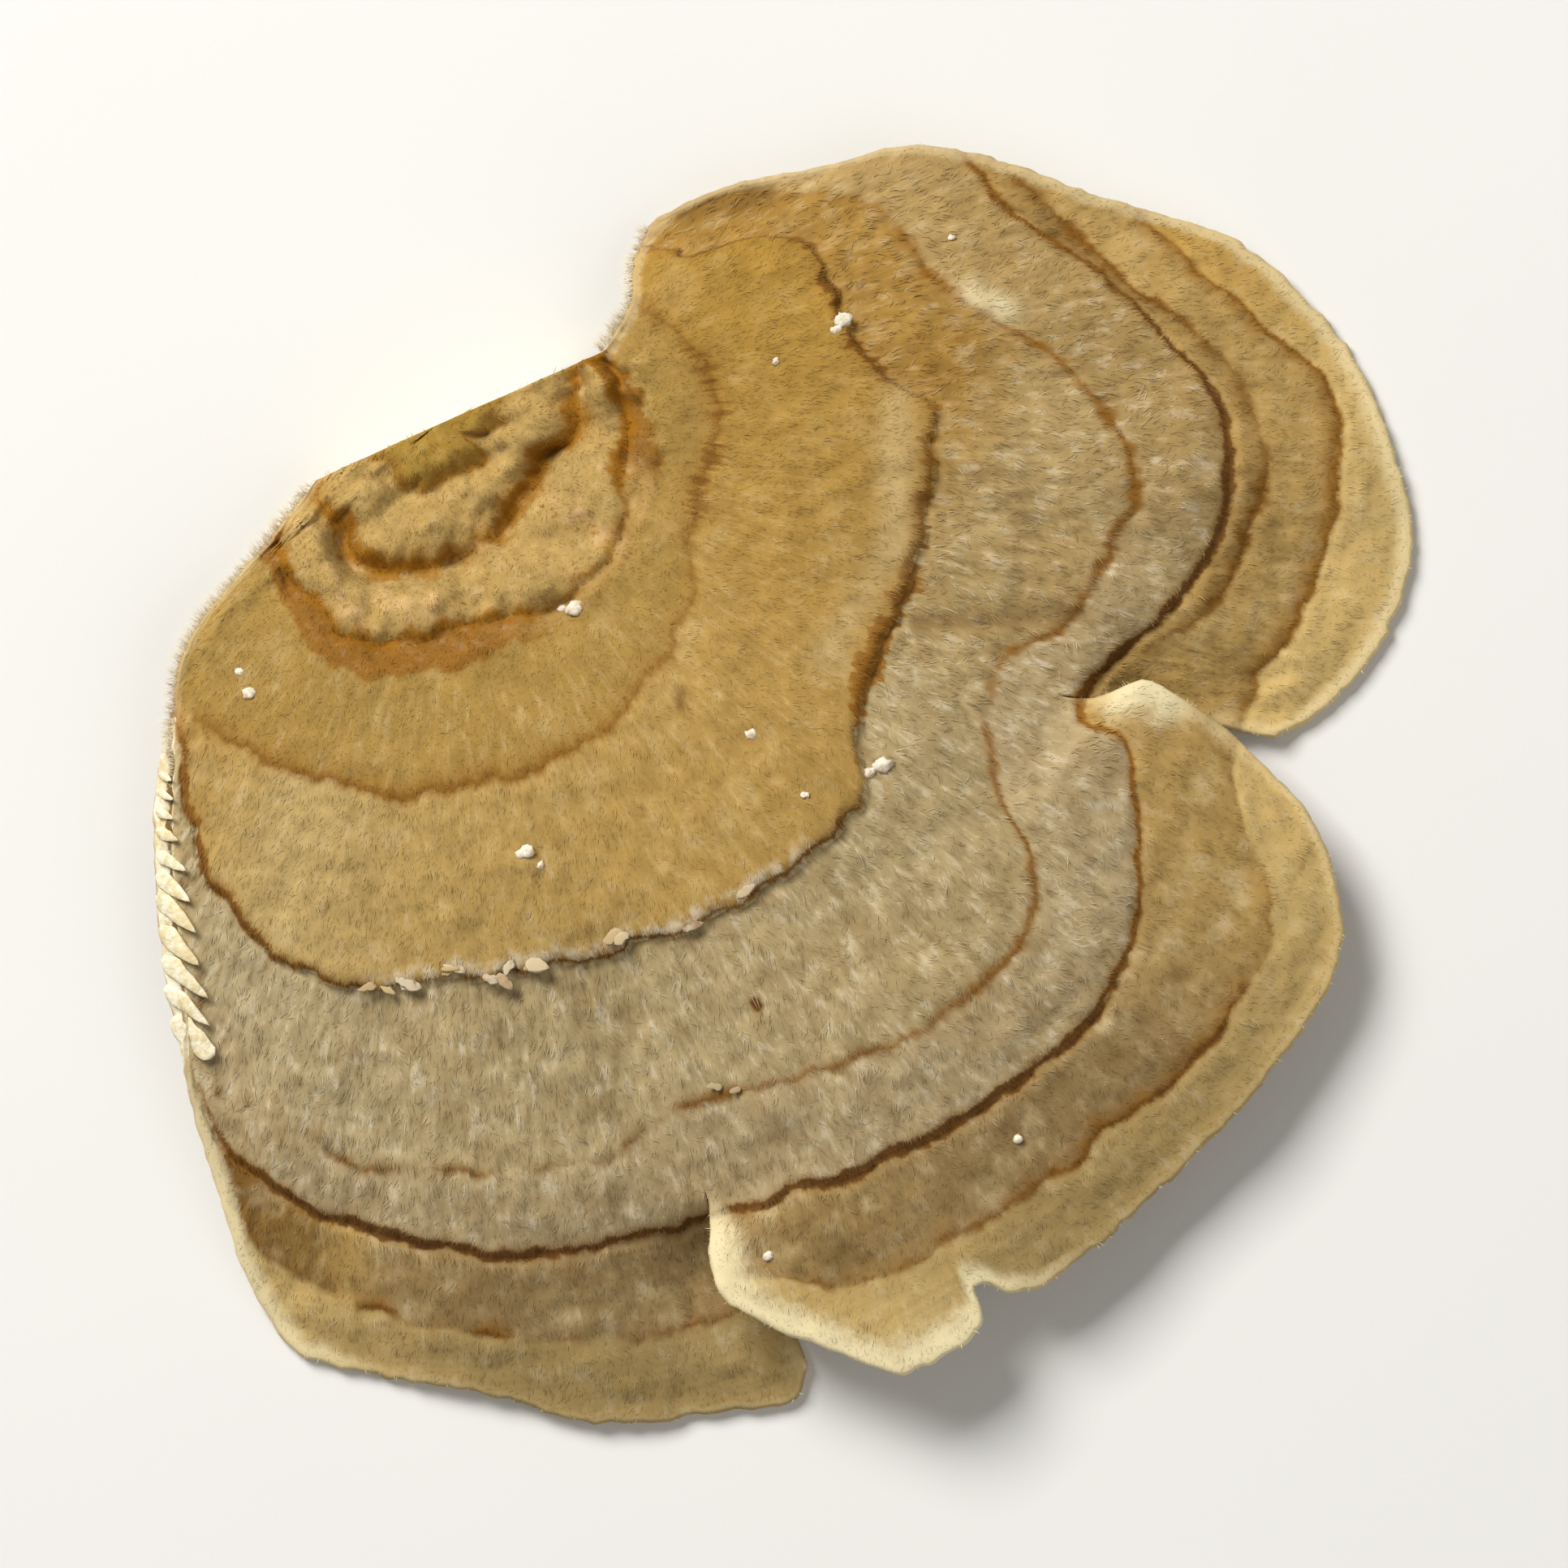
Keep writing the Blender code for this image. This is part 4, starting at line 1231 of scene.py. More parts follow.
@dataclass(frozen=True)
class Cap:
    """The whole cap as one closed mesh: felt above, pores below, rims, torn flesh and the cut.

    Attributes:
        fan: lays out its sides.
        ray_spacing: distance between the rays' ends.
        ear_rays: gaps between the rays of the ear.
        rim_rows: faces from the upper to the lower edge.
        bulge: how far the rim stands out.
        rim_grows: how far from a path's end it does so fully.
        rim_rough: how rough it is.
        torn_rough: how much rougher where it is torn.
        torn_from: how torn the rim is where it turns to bare flesh.
        upper_rows: rows of the felted side: the stage they end at, how many, every how many rays.
        lower_rows: rows of the pore side.
        cut_rows: rows of the cut.
        cut_columns: its columns.
        cut_inset: how far the outer columns stand from the rims.
    """

    fan: Fan = Fan()
    ray_spacing: float = 0.196
    ear_rays: int = 56
    rim_rows: int = 6
    bulge: float = 0.15
    rim_grows: float = 1.2
    rim_rough: float = 0.03
    torn_rough: float = 0.09
    torn_from: float = 0.3
    upper_rows: tuple[tuple[float, int, int], ...] = (
        (1.0, 11, 4), (2.0, 12, 4), (3.0, 12, 4), (3.5, 6, 4), (4.0, 17, 2), (5.0, 34, 2), (5.5, 29, 1),
        (SLIT_STAGE, 11, 1), (6.0, 5, 1), (7.0, 17, 1), (8.0, 15, 1),
    )
    lower_rows: tuple[tuple[float, int, int], ...] = (
        (1.0, 4, 8), (2.0, 5, 8), (3.5, 7, 8), (4.0, 7, 4), (5.0, 14, 4), (5.5, 12, 2),
        (SLIT_STAGE, 5, 2), (6.0, 5, 2), (7.0, 14, 2), (7.75, 9, 2), (8.0, 4, 1),
    )
    cut_rows: int = 14
    cut_columns: int = 90
    cut_inset: float = 0.05

    def patch(self, shell: Shell, lobe: Lobe, base: Array, upper: bool) -> Patch:
        """Lay out one side of a lobe and take it into the shell, without its faces.

        Args:
            shell: where the points go.
            lobe: the lobe.
            base: bearings of its rays.
            upper: the felted side, not the pore side.

        Returns:
            The side.
        """
        rows = self.upper_rows if upper else self.lower_rows
        starts = [0.0] + [end for end, _, _ in rows]
        steps = [np.linspace(starts[k], end, count + 1)[1:] for k, (end, count, _) in enumerate(rows)]
        stages = np.concatenate([[0.0]] + steps)
        if base[0] < CUT_RIGHT_BEARING:
            stages = stages[stages >= EAR_STAGE]
        sheet = self.fan.sheet(lobe, base, stages, upper)
        return Patch(sheet, shell.add(sheet), stages)

    def sides(self, shell: Shell, lobe: Lobe) -> tuple[Patch, Patch]:
        """Both sides of a lobe, with their faces.

        Args:
            shell: where they go.
            lobe: the lobe.

        Returns:
            The upper and the lower side.
        """
        base = lobe.rays(self.ray_spacing, 8)
        pair = []
        layers = ((True, self.upper_rows, Skin.FELT), (False, self.lower_rows, Skin.PORES))
        for upper, rows, skin in layers:
            patch = self.patch(shell, lobe, base, upper)
            ends = np.cumsum([count for _, count, _ in rows]).tolist()
            shell.bands(patch.numbers, list(zip(ends, [step for _, _, step in rows])), skin)
            pair.append(patch)
        return pair[0], pair[1]

    def ear(self, shell: Shell, right: tuple[Patch, Patch]) -> tuple[Patch, Patch]:
        """The ear's two sides, whose last ray is the right lobe's first.

        Args:
            shell: where they go.
            right: the right lobe's sides.

        Returns:
            The upper and the lower side.
        """
        base = np.linspace(EAR_TIP_BEARING, CUT_RIGHT_BEARING, self.ear_rays + 1)
        pair = []
        for upper, neighbour, skin in ((True, right[0], Skin.FELT), (False, right[1], Skin.PORES)):
            patch = self.patch(shell, RIGHT_LOBE, base, upper)
            patch.numbers[-1] = neighbour.ray(0, EAR_STAGE).numbers
            shell.grid(patch.numbers, skin)
            pair.append(patch)
        return pair[0], pair[1]

    def rim(self, shell: Shell, above: Edge, below: Edge, torn: Array) -> Numbers:
        """The edge between the two sides, half an ellipse that stands out sideways.

        A point at the angle a is the middle of the two edges, plus half their difference times sin a,
        plus the bulge times cos a along the outward direction, which lies to the left of the path.

        Args:
            shell: where the faces go.
            above: the upper edge, clockwise round the lobe.
            below: the lower edge.
            torn: 1 where the edge is torn flesh, for each point of the upper edge.

        Returns:
            Numbers of the points at the path's two ends, from the upper to the lower edge.
        """
        top = above.line.points
        under = below.line.points
        bottom = np.stack([np.interp(above.where, below.where, under[:, k]) for k in range(3)], axis=-1)
        middle, half = (top + bottom) / 2, (top - bottom) / 2
        along = np.gradient(middle, axis=0)
        outward = unit(np.stack([-along[:, 1], along[:, 0], 0 * along[:, 0]], axis=-1))
        # Each way is the mean of seven neighbours
        padded = np.pad(outward, ((3, 3), (0, 0)), "edge")
        outward = sum(padded[k : k + len(outward)] for k in range(7)) / 7
        path = np.concatenate([[0], np.cumsum(np.linalg.norm(np.diff(middle, axis=0), axis=1))])
        free = ramp(np.minimum(path, path[-1] - path), 0, self.rim_grows)
        angle = np.pi / 2 - np.pi * np.arange(1, self.rim_rows) / self.rim_rows
        rough = cloud(path[:, None] / 0.4, angle[None] * 2.0, 21, 2)
        stand = self.bulge * free * (1 - torn)
        bumps = free[:, None] * (self.rim_rough + self.torn_rough * torn[:, None]) * rough
        out = (stand[:, None] + bumps) * np.cos(angle)
        points = middle[:, None] + half[:, None] * np.sin(angle)[None, :, None]
        points = points + out[..., None] * outward[:, None]
        marks = above.line.spread(len(angle))
        marks["edge"][..., 2] = (1 - np.sin(angle)) / 2
        marks["stain"][..., 1] = torn[:, None]
        numbers = shell.add(Sheet(points, marks))
        skins = np.where(torn[:-1] > self.torn_from, Skin.FLESH.value, Skin.FELT.value)
        skins = np.repeat(skins, self.rim_rows - 1).astype(float)
        shell.grid(np.concatenate([above.numbers[:, None], numbers], axis=1), skins)
        shell.strip(Edge(above.line, numbers[:, -1], above.where), below, Skin.PORES)
        return np.array([[above.numbers[k], *numbers[k], below.numbers[k]] for k in (0, -1)])

    def cut(
        self, shell: Shell, right: tuple[Patch, Patch], left: tuple[Patch, Patch], ends: Numbers
    ) -> None:
        """The flat cut: a finely pitted grid, tied to the edges around it by strips.

        Args:
            shell: where the faces go.
            right: the right lobe's sides.
            left: the left lobe's sides.
            ends: points of the rims at the cut's right and left end, from the top down.
        """
        edges = []
        for k in range(2):
            edge = Edge.joined([right[k].ray(0, 0.0, EAR_STAGE).turned(), left[k].ray(-1, 0.0)])
            x = edge.line.points[:, 0]
            edges.append(Edge(edge.line, edge.numbers, (x - x[0]) / (x[-1] - x[0])))
        top, bottom = edges
        low, high = top.line.points[0, 0] + self.cut_inset, top.line.points[-1, 0] - self.cut_inset
        x = np.linspace(low, high, self.cut_columns + 1)[:, None]
        share = (np.arange(self.cut_rows) + 0.5) / self.cut_rows
        upper = np.interp(x, top.line.points[:, 0], top.line.points[:, 2])
        lower = np.interp(x, bottom.line.points[:, 0], bottom.line.points[:, 2])
        z = lower + (upper - lower) * share
        across = x + 0 * z
        pits = 0.05 * cloud(across / 0.16, z / 0.6, 33, 2) + 0.04 * cloud(across / 0.7, z / 0.5, 34)
        marks = {name: np.zeros(z.shape + mark.shape[-1:]) for name, mark in top.line.marks.items()}
        marks["edge"][..., 2] = share
        points = np.stack([across, np.maximum(pits + 0.01, 0.0), z], axis=-1)
        numbers = shell.add(Sheet(points, marks))
        shell.grid(numbers, Skin.FLESH)
        even = np.linspace(0, 1, self.cut_columns + 1)
        shell.strip(top, Edge(top.line, numbers[:, -1], even), Skin.FLESH)
        shell.strip(bottom, Edge(top.line, numbers[:, 0], even), Skin.FLESH)
        down = np.linspace(0, 1, self.cut_rows)
        for rim, column in ((ends[0], numbers[0]), (ends[1], numbers[-1])):
            where = np.linspace(0, 1, len(rim))
            shell.strip(Edge(top.line, rim, where), Edge(top.line, column[::-1], down), Skin.FLESH)

    def build(self, finishes: Sequence[Material]) -> tuple[Piece, list[Patch], list[Edge]]:
        """Make the cap: the sides, the rims round them and the cut, in one mesh.

        Args:
            finishes: felt, pore side and flesh.

        Returns:
            The piece, its felted sides and their outer edges, for the hairs that grow on them.
        """
        shell = Shell()
        lobes = [self.sides(shell, lobe) for lobe in (RIGHT_LOBE, MIDDLE_LOBE, LEFT_LOBE)]
        ear = self.ear(shell, lobes[0])
        ends, borders = [], []
        for k, sides in enumerate(lobes):
            edges = []
            for side in range(2):
                patch, small = sides[side], ear[side]
                if k == 0:
                    path = [small.ring(0).turned(), small.ray(0, EAR_STAGE), small.ring(-1)]
                else:
                    path = [patch.ray(0, SLIT_STAGE)]
                path.append(patch.ring(-1))
                if k < 2:
                    path.append(patch.ray(-1, SLIT_STAGE).turned())
                edges.append(Edge.joined(path))
            bearings = np.degrees(edges[0].line.marks["ray"][:, 0])
            torn = self.fan.form.torn(bearings) * (k == 2)
            ends.append(self.rim(shell, edges[0], edges[1], torn))
            borders.append(edges[0])
        self.cut(shell, lobes[0], lobes[2], np.array([ends[0][0], ends[2][1]]))
        piece = fit(shell.build("cap", finishes, 2e-4))
        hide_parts("bracket")
        return piece, [ear[0]] + [sides[0] for sides in lobes], borders


Number = Union[float, "Value"]
Paint = Union[Socket, tuple[float, float, float, float]]


class Value:
    """A number in a shader: a socket that takes part in Python expressions."""

    def __init__(self, nodes: "Nodes", socket: Socket) -> None:
        """Wrap an output socket."""
        self.nodes = nodes
        self.socket = socket

    def __add__(self, other: Number) -> "Value":
        """Sum."""
        return self.nodes.math("ADD", self, other)

    __radd__ = __add__

    def __sub__(self, other: Number) -> "Value":
        """Difference."""
        return self.nodes.math("SUBTRACT", self, other)

    def __rsub__(self, other: Number) -> "Value":
        """Difference, the other way round."""
        return self.nodes.math("SUBTRACT", other, self)

    def __mul__(self, other: Number) -> "Value":
        """Product."""
        return self.nodes.math("MULTIPLY", self, other)

    __rmul__ = __mul__

    def __abs__(self) -> "Value":
        """Size without sign."""
        return self.nodes.math("ABSOLUTE", self)

    def held(self) -> "Value":
        """The number held between 0 and 1."""
        return self.nodes.math("ADD", self, 0.0, clamp=True)


def paint(red: int, green: int, blue: int) -> tuple[float, float, float, float]:
    """Shader colour of a screen colour.

    A part's share of 255 is divided by 12.92 where it is small, and elsewhere 0.055 is added, the
    sum is divided by 1.055 and raised to the power 2.4.

    Args:
        red: the red part, from 0 to 255.
        green: the green part.
        blue: the blue part.

    Returns:
        The linear colour, with alpha 1.
    """
    share = np.array([red, green, blue]) / 255.0
    line = np.where(share <= 0.04045, share / 12.92, ((share + 0.055) / 1.055) ** 2.4)
    return (*line.tolist(), 1.0)


Settings = dict[str, object]
Inputs = dict[Union[int, str], object]


class Nodes:
    """The nodes of one material, ending in a Principled shader."""

    def __init__(self, name: str, roughness: float, specular: float = 0.5) -> None:
        """Start a material.

        Args:
            name: the material's name.
            roughness: the shader's roughness.
            specular: its specular level.
        """
        self.material = bpy.data.materials.new(name)
        self.material.use_nodes = True
        self.tree = self.material.node_tree
        self.shader = self.tree.nodes["Principled BSDF"]
        self.shader.inputs["Roughness"].default_value = roughness
        self.shader.inputs["Specular IOR Level"].default_value = specular

    def node(self, kind: str, settings: Settings, inputs: Inputs) -> bpy.types.Node:
        """Add a node.

        Args:
            kind: its type.
            settings: its properties, set first.
            inputs: values or links of its sockets.

        Returns:
            The node.
        """
        node = self.tree.nodes.new(kind)
        for name, value in settings.items():
            setattr(node, name, value)
        for key, value in inputs.items():
            if isinstance(value, Value):
                self.tree.links.new(value.socket, node.inputs[key])
            elif isinstance(value, Socket):
                self.tree.links.new(value, node.inputs[key])
            else:
                node.inputs[key].default_value = value
        return node

    def value(self, kind: str, settings: Settings, inputs: Inputs) -> Value:
        """The first output of a new node, as a number."""
        return Value(self, self.node(kind, settings, inputs).outputs[0])

    def math(self, operation: str, *values: Number, clamp: bool = False) -> Value:
        """One Math node on up to three numbers."""
        settings = {"operation": operation, "use_clamp": clamp}
        return self.value("ShaderNodeMath", settings, dict(enumerate(values)))

    def mark(self, name: str) -> tuple[Value, Value, Value, Value]:
        """The numbers of an attribute.

        Args:
            name: the attribute's name.

        Returns:
            Its numbers, of which the fourth is 1 where it has three.
        """
        found = self.node("ShaderNodeAttribute", {"attribute_name": name}, {})
        split = self.node("ShaderNodeSeparateXYZ", {}, {0: found.outputs["Vector"]})
        return tuple(Value(self, socket) for socket in (*split.outputs, found.outputs["Alpha"]))

    def vector(self, x: Number, y: Number, z: Number) -> Socket:
        """A vector of three numbers."""
        return self.node("ShaderNodeCombineXYZ", {}, {0: x, 1: y, 2: z}).outputs[0]

    def spot(self) -> Socket:
        """Object coordinates, in metres."""
        return self.node("ShaderNodeTexCoord", {}, {}).outputs["Object"]

    def noise(self, where: Socket, scale: float, detail: float = 2.0, roughness: float = 0.5) -> Value:
        """Noise between about 0 and 1."""
        inputs = {"Vector": where, "Scale": scale, "Detail": detail, "Roughness": roughness}
        return self.value("ShaderNodeTexNoise", {}, inputs)

    def rise(self, value: Number, low: Number, high: Number) -> Value:
        """Ease from 0 at low to 1 at high, or the other way where low is higher."""
        inputs = {"Value": value, "From Min": low, "From Max": high}
        return self.value("ShaderNodeMapRange", {"interpolation_type": "SMOOTHSTEP"}, inputs)

    def mix(self, share: Number, first: Paint, second: Paint, blend: str = "MIX") -> Socket:
        """Two colours mixed."""
        settings = {"data_type": "RGBA", "blend_type": blend, "clamp_factor": True}
        return self.node("ShaderNodeMix", settings, {0: share, 6: first, 7: second}).outputs[2]

    def layers(self, colour: Paint, *over: tuple[Number, Paint]) -> Paint:
        """Colours laid over the first one in order.

        Args:
            colour: the first.
            over: how much of each next one covers what lies under it, and the colour.

        Returns:
            The colour on top.
        """
        for share, next_one in over:
            colour = self.mix(share, colour, next_one)
        return colour

    def shaded(self, colour: Paint, amount: Value) -> Socket:
        """A colour made lighter or darker: its parts times the amount."""
        return self.mix(1.0, colour, self.vector(amount, amount, amount), "MULTIPLY")

    def finish(self, colour: Paint, height: Value, depth: float, strength: float = 1.0) -> Material:
        """Connect the colour and the bump.

        Args:
            colour: the base colour.
            height: relief between about 0 and 1.
            depth: what a height of 1 stands for, in millimetres.
            strength: the Bump node's strength.

        Returns:
            The material.
        """
        self.tree.links.new(colour, self.shader.inputs["Base Color"])
        inputs = {"Strength": strength, "Distance": depth * MM, "Height": height}
        bump = self.node("ShaderNodeBump", {}, inputs)
        self.tree.links.new(bump.outputs[0], self.shader.inputs["Normal"])
        return self.material


@dataclass(frozen=True)
class FeltFinish:
    """Zoned felt: colours between the growth lines, the lines themselves, streaks and the pale rim."""

    core: Paint = paint(164, 130, 54)
    inner: Paint = paint(178, 146, 84)
    blush: Paint = paint(204, 166, 116)
    rust: Paint = paint(138, 90, 20)
    amber: Paint = paint(150, 98, 8)
    band: Paint = paint(134, 84, 4)
    tan: Paint = paint(156, 124, 60)
    ochre: Paint = paint(158, 120, 46)
    ochre_pale: Paint = paint(176, 150, 96)
    patch: Paint = paint(172, 145, 94)
    patch_ochre: Paint = paint(154, 116, 50)
    grey: Paint = paint(162, 140, 95)
    grey_pale: Paint = paint(173, 155, 117)
    fifth: Paint = paint(168, 147, 108)
    fifth_ochre: Paint = paint(164, 132, 74)
    outer: Paint = paint(138, 114, 74)
    outer_ochre: Paint = paint(174, 141, 80)
    deep: Paint = paint(112, 78, 28)
    margin: Paint = paint(136, 114, 70)
    margin_gold: Paint = paint(201, 170, 106)
    margin_ochre: Paint = paint(170, 128, 50)
    cream: Paint = paint(196, 176, 130)
    brown: Paint = paint(146, 112, 60)
    rim: Paint = paint(218, 202, 158)
    fuzz: Paint = paint(214, 202, 176)
    # Brown of the painted shade between the locks
    gap: Paint = paint(132, 98, 52)
    dark: Paint = paint(88, 52, 14)
    roughness: float = 0.92

    def material(self) -> Material:
        """Build the shader.

        Each growth line's signed distance is roughened with noise. Its sign changes the zone's
        colour, its size draws the line where the ink allows, and the span inside it is shaded brown.
        Locks of hairs are noise drawn out along the rays, with pale tips, partly painted highlight, and
        painted shade in brown between them.

        Returns:
            The material.
        """
        nodes = Nodes("felt", self.roughness, 0.2)
        rise, noise, mix, layers = nodes.rise, nodes.noise, nodes.mix, nodes.layers
        bearing, distance, tuft, _ = nodes.mark("ray")
        to_edge, rim, across, _ = nodes.mark("edge")
        warmth, ochre, paleness, _ = nodes.mark("tone")
        chance, along, on_hair, _ = nodes.mark("hair")
        stain = nodes.mark("stain")[0]
        spot = nodes.spot()
        central = rise(distance, 9.5, 6.5)

        def fan(turns: float, steps: float, layer: float, detail: float = 2.0, rough: float = 0.5) -> Value:
            """Noise over the bearing times turns and the distance times steps."""
            return noise(nodes.vector(bearing * turns, distance * steps, layer), 1.0, detail, rough)

        def fibres(turns: float, steps: float, spots: float, rough: float) -> Value:
            """Noise drawn out along the rays, which becomes round spots near the centre."""
            drawn_out = fan(turns, steps, turns, 2.0, rough)
            return drawn_out + (noise(spot, spots, 2.0, rough) - drawn_out) * central

        # Patterns: along the rays, all over, and across the rays
        fine = fibres(150.0, 2.2, 6000.0, 0.65)
        locks = fibres(46.0, 1.5, 2300.0, 0.5)
        blobs = fibres(26.0, 1.1, 1600.0, 0.45)
        broad = fibres(17.0, 0.7, 1100.0, 0.5)
        strands = fibres(88.0, 0.8, 3600.0, 0.5)
        ripples = fan(3.0, 1.3, 30.0)
        mottle = noise(spot, 800.0, 3.0, 0.6)
        cloudy = noise(spot, 260.0)
        grain = noise(spot, 5200.0, 2.0, 0.6)
        patches = noise(spot, 520.0)
        rings = fan(4.0, 4.5, 50.0, 2.0, 0.6)
        # Where a thin line breaks off, how far its dabs reach, and its wide pits
        dashes = noise(nodes.vector(bearing * 22.0, 0.0, 14.0), 1.0, 2.0, 0.7)
        dashes = dashes + (patches - dashes) * central
        dabs = rise(fan(46.0, 0.5, 19.0, 1.0), 0.46, 0.62)
        pits = rise(fan(26.0, 1.2, 23.0, 1.0), 0.38, 0.58) * (1 - central * 0.7)

        # The growth lines, with roughened distances
        ragged = (fine - 0.5) * 0.16 + (grain - 0.5) * 0.16 + (mottle - 0.5) * 0.2 + (locks - 0.5) * 0.3
        ragged = ragged + (mottle - 0.5) * central * 1.1
        lines = {}
        for line in LINES:
            offset, ink, teeth, warm = nodes.mark(line.mark)
            lines[line.stage] = (offset + ragged, ink, teeth, warm)

        def past(stage: float, soft: float = 0.1) -> Value:
            """1 beyond a growth line."""
            return rise(lines[stage][0], -soft, soft)

        # The zones between them, which are warmer on the right
        patch = rise(bearing, 0.52, 0.3)
        sunny = rise(bearing - rise(distance, 20.0, 15.5) * 0.35, 0.0, -0.45)
        warm_side = rise(bearing, 0.45, -0.1)
        between = past(3.0, 0.12) * (1 - past(3.5, 0.12)) * lines[3.5][1]
        grey = mix(paleness, self.grey, self.grey_pale)
        golden = layers(self.margin, (warmth, self.margin_gold), (warmth - 1.0, self.margin_ochre))
        felted = past(3.5, 0.3) * (0.5 + past(5.0, 0.3) * 0.5) * (1 - past(7.0, 0.3) * 0.85)
        felted = felted * (1 - warm_side * 0.45)
        light = patches * 0.5 + blobs * 0.5 + (broad - 0.5) * 0.3
        colour = layers(
            self.core,
            (past(1.0, 0.4), self.inner),
            (rise(mottle, 0.52, 0.72) * past(2.0, 0.3) * 0.6, self.blush),
            (rise(fine, 0.52, 0.7) * rise(broad, 0.45, 0.6) * 0.7, self.rust),
            (between * 0.85, self.band),
            (past(3.5, 0.15), self.tan),
            (past(4.0), mix(paleness, self.ochre, self.ochre_pale)),
            (past(5.0), mix(patch, grey, mix(sunny, self.patch, self.patch_ochre))),
            (past(5.5, 0.3), mix(warm_side * 0.8, self.fifth, self.fifth_ochre)),
            (past(6.0), layers(self.outer, (ochre, self.outer_ochre), (ochre - 1.0, self.deep))),
            (past(7.0, 0.2), golden),
            ((cloudy - 0.42) * 0.6 * past(3.5, 0.3), self.outer_ochre),
            (rise(light, 0.5, 0.68) * felted * 0.34, self.cream),
            (rise(light, 0.48, 0.32) * felted * 0.28, self.brown),
        )

        # Locks of hairs: brown painted shade in the gaps between them, and pale tips, partly the hairs' own
        # and partly painted highlight
        furred = past(5.0, 0.2)
        margin = past(7.0, 0.15)
        # Brightness: mottled by locks, blobs and strands, the felt's own tone; lighter where the tufts'
        # relief stands high and banded by the ripples, painted light and shade of tufts and corrugations
        shade = (locks - 0.5) * 0.26 + (blobs - 0.5) * 0.22 + (broad - 0.5) * 0.34 + (fine - 0.5) * 0.22
        shade = shade + (strands - 0.5) * (0.12 + 0.3 * furred) + (ripples - 0.5) * 0.32
        shade = shade * (1 - margin * 0.65) + (rings - 0.5) * 0.34 * margin
        colour = nodes.shaded(colour, 1.02 + shade + (mottle - 0.5) * 0.2 + tuft * 0.05)
        # Painted shade: brown in the gaps between the locks
        gaps = rise(strands * 0.7 + locks * 0.3 + (fine - 0.5) * 0.4, 0.45, 0.3)
        gaps = gaps * (0.14 + 0.16 * furred) * (1 - margin * 0.85)
        # Pale tips of the locks: partly the hairs' own paleness, partly painted highlight
        tips = strands * 0.45 + blobs * 0.25 + locks * 0.3 + (fine - 0.5) * 0.3 + (chance - 0.5) * 0.08
        tips = rise(tips, 0.47, 0.64)
        frosted = (0.12 + 0.36 * furred) * (1 - past(6.0, 0.15) * 0.65) * (1 - sunny * 0.6)
        colour = layers(colour, (gaps, self.gap), (tips * frosted, self.fuzz))

        # The lines themselves: brown on their inner side, a rusty halo and a dark stroke
        for line in LINES:
            offset, ink, teeth, warm = lines[line.stage]
            rust = self.amber if line.stage < 3.5 else self.rust
            drawn = (ink * 1.25 - 0.1 + (dashes - 0.5) * 1.7 + (fine - 0.5) * 0.8).held()
            if line.shade:
                inner_side = rise(offset, -line.shade_width, -0.02) * rise(offset, 0.1, 0.0)
                brown = self.deep if line.stage == SOFT_STAGE else rust
                blotchy = (0.2 + mottle * 1.2 + (locks - 0.5) * 1.5).held()
                colour = mix(inner_side * drawn * blotchy * line.shade, colour, brown)
            reach = 0.5 + dashes + rise(ink, 1.1, 2.4) * (1 + pits * 6.5)
            away = abs(offset) - teeth * dabs - line.width * reach
            halo = rise(away, 0.1 + line.blur, -0.04) * drawn * 0.45
            stroke = rise(away, line.blur, -line.blur) * drawn * 0.85
            colour = layers(colour, (halo, rust), (stroke, mix(warm, self.dark, rust)))

        # The pale lip on the fifth line, the stains and the painted shade in the pit, the rim, and single
        # pale hairs
        fifth = lines[5.0][0]
        lip = rise(fifth, -0.65, -0.2) * rise(fifth, 0.0, -0.08)
        lip = lip * rise(bearing, 0.75, 0.95) * rise(bearing, 1.75, 1.6)
        lip = lip * rise(locks, 0.35, 0.6)
        loose = (grain - 0.5) * 0.3 + (fine - 0.5) * 0.6 + (locks - 0.5) * 0.5
        pale = rise(to_edge + loose * (0.3 + rim), rim * 1.3, rim * 0.3)
        fuzzy = (on_hair - 1.0).held()
        colour = layers(
            colour,
            (lip * 0.55, self.fuzz),
            (stain * (0.6 + fine * 0.5), mix(stain - 0.6, self.deep, self.dark)),
            ((0 - stain) * (0.4 + locks), self.rim),
            (pale * rise(rim, -0.1, 1.0), self.rim),
            (rise(across, 0.5, 0.85), self.rim),
            (fuzzy * (0.4 + 0.6 * along), self.fuzz),
        )
        # Hairs lighter towards their tips, partly painted highlight; the felt under the hairs darker away
        # from the edges, painted shade beneath them
        hairy = on_hair - fuzzy
        ground = rise(to_edge, 0.1, 0.5) * (1 - on_hair.held())
        colour = nodes.shaded(colour, 1 + hairy * ((chance - 0.5) * 0.22 + along * 0.1) - ground * 0.1)
        return nodes.finish(colour, fine * 0.6 + grain * 0.4, 0.03, 0.5)


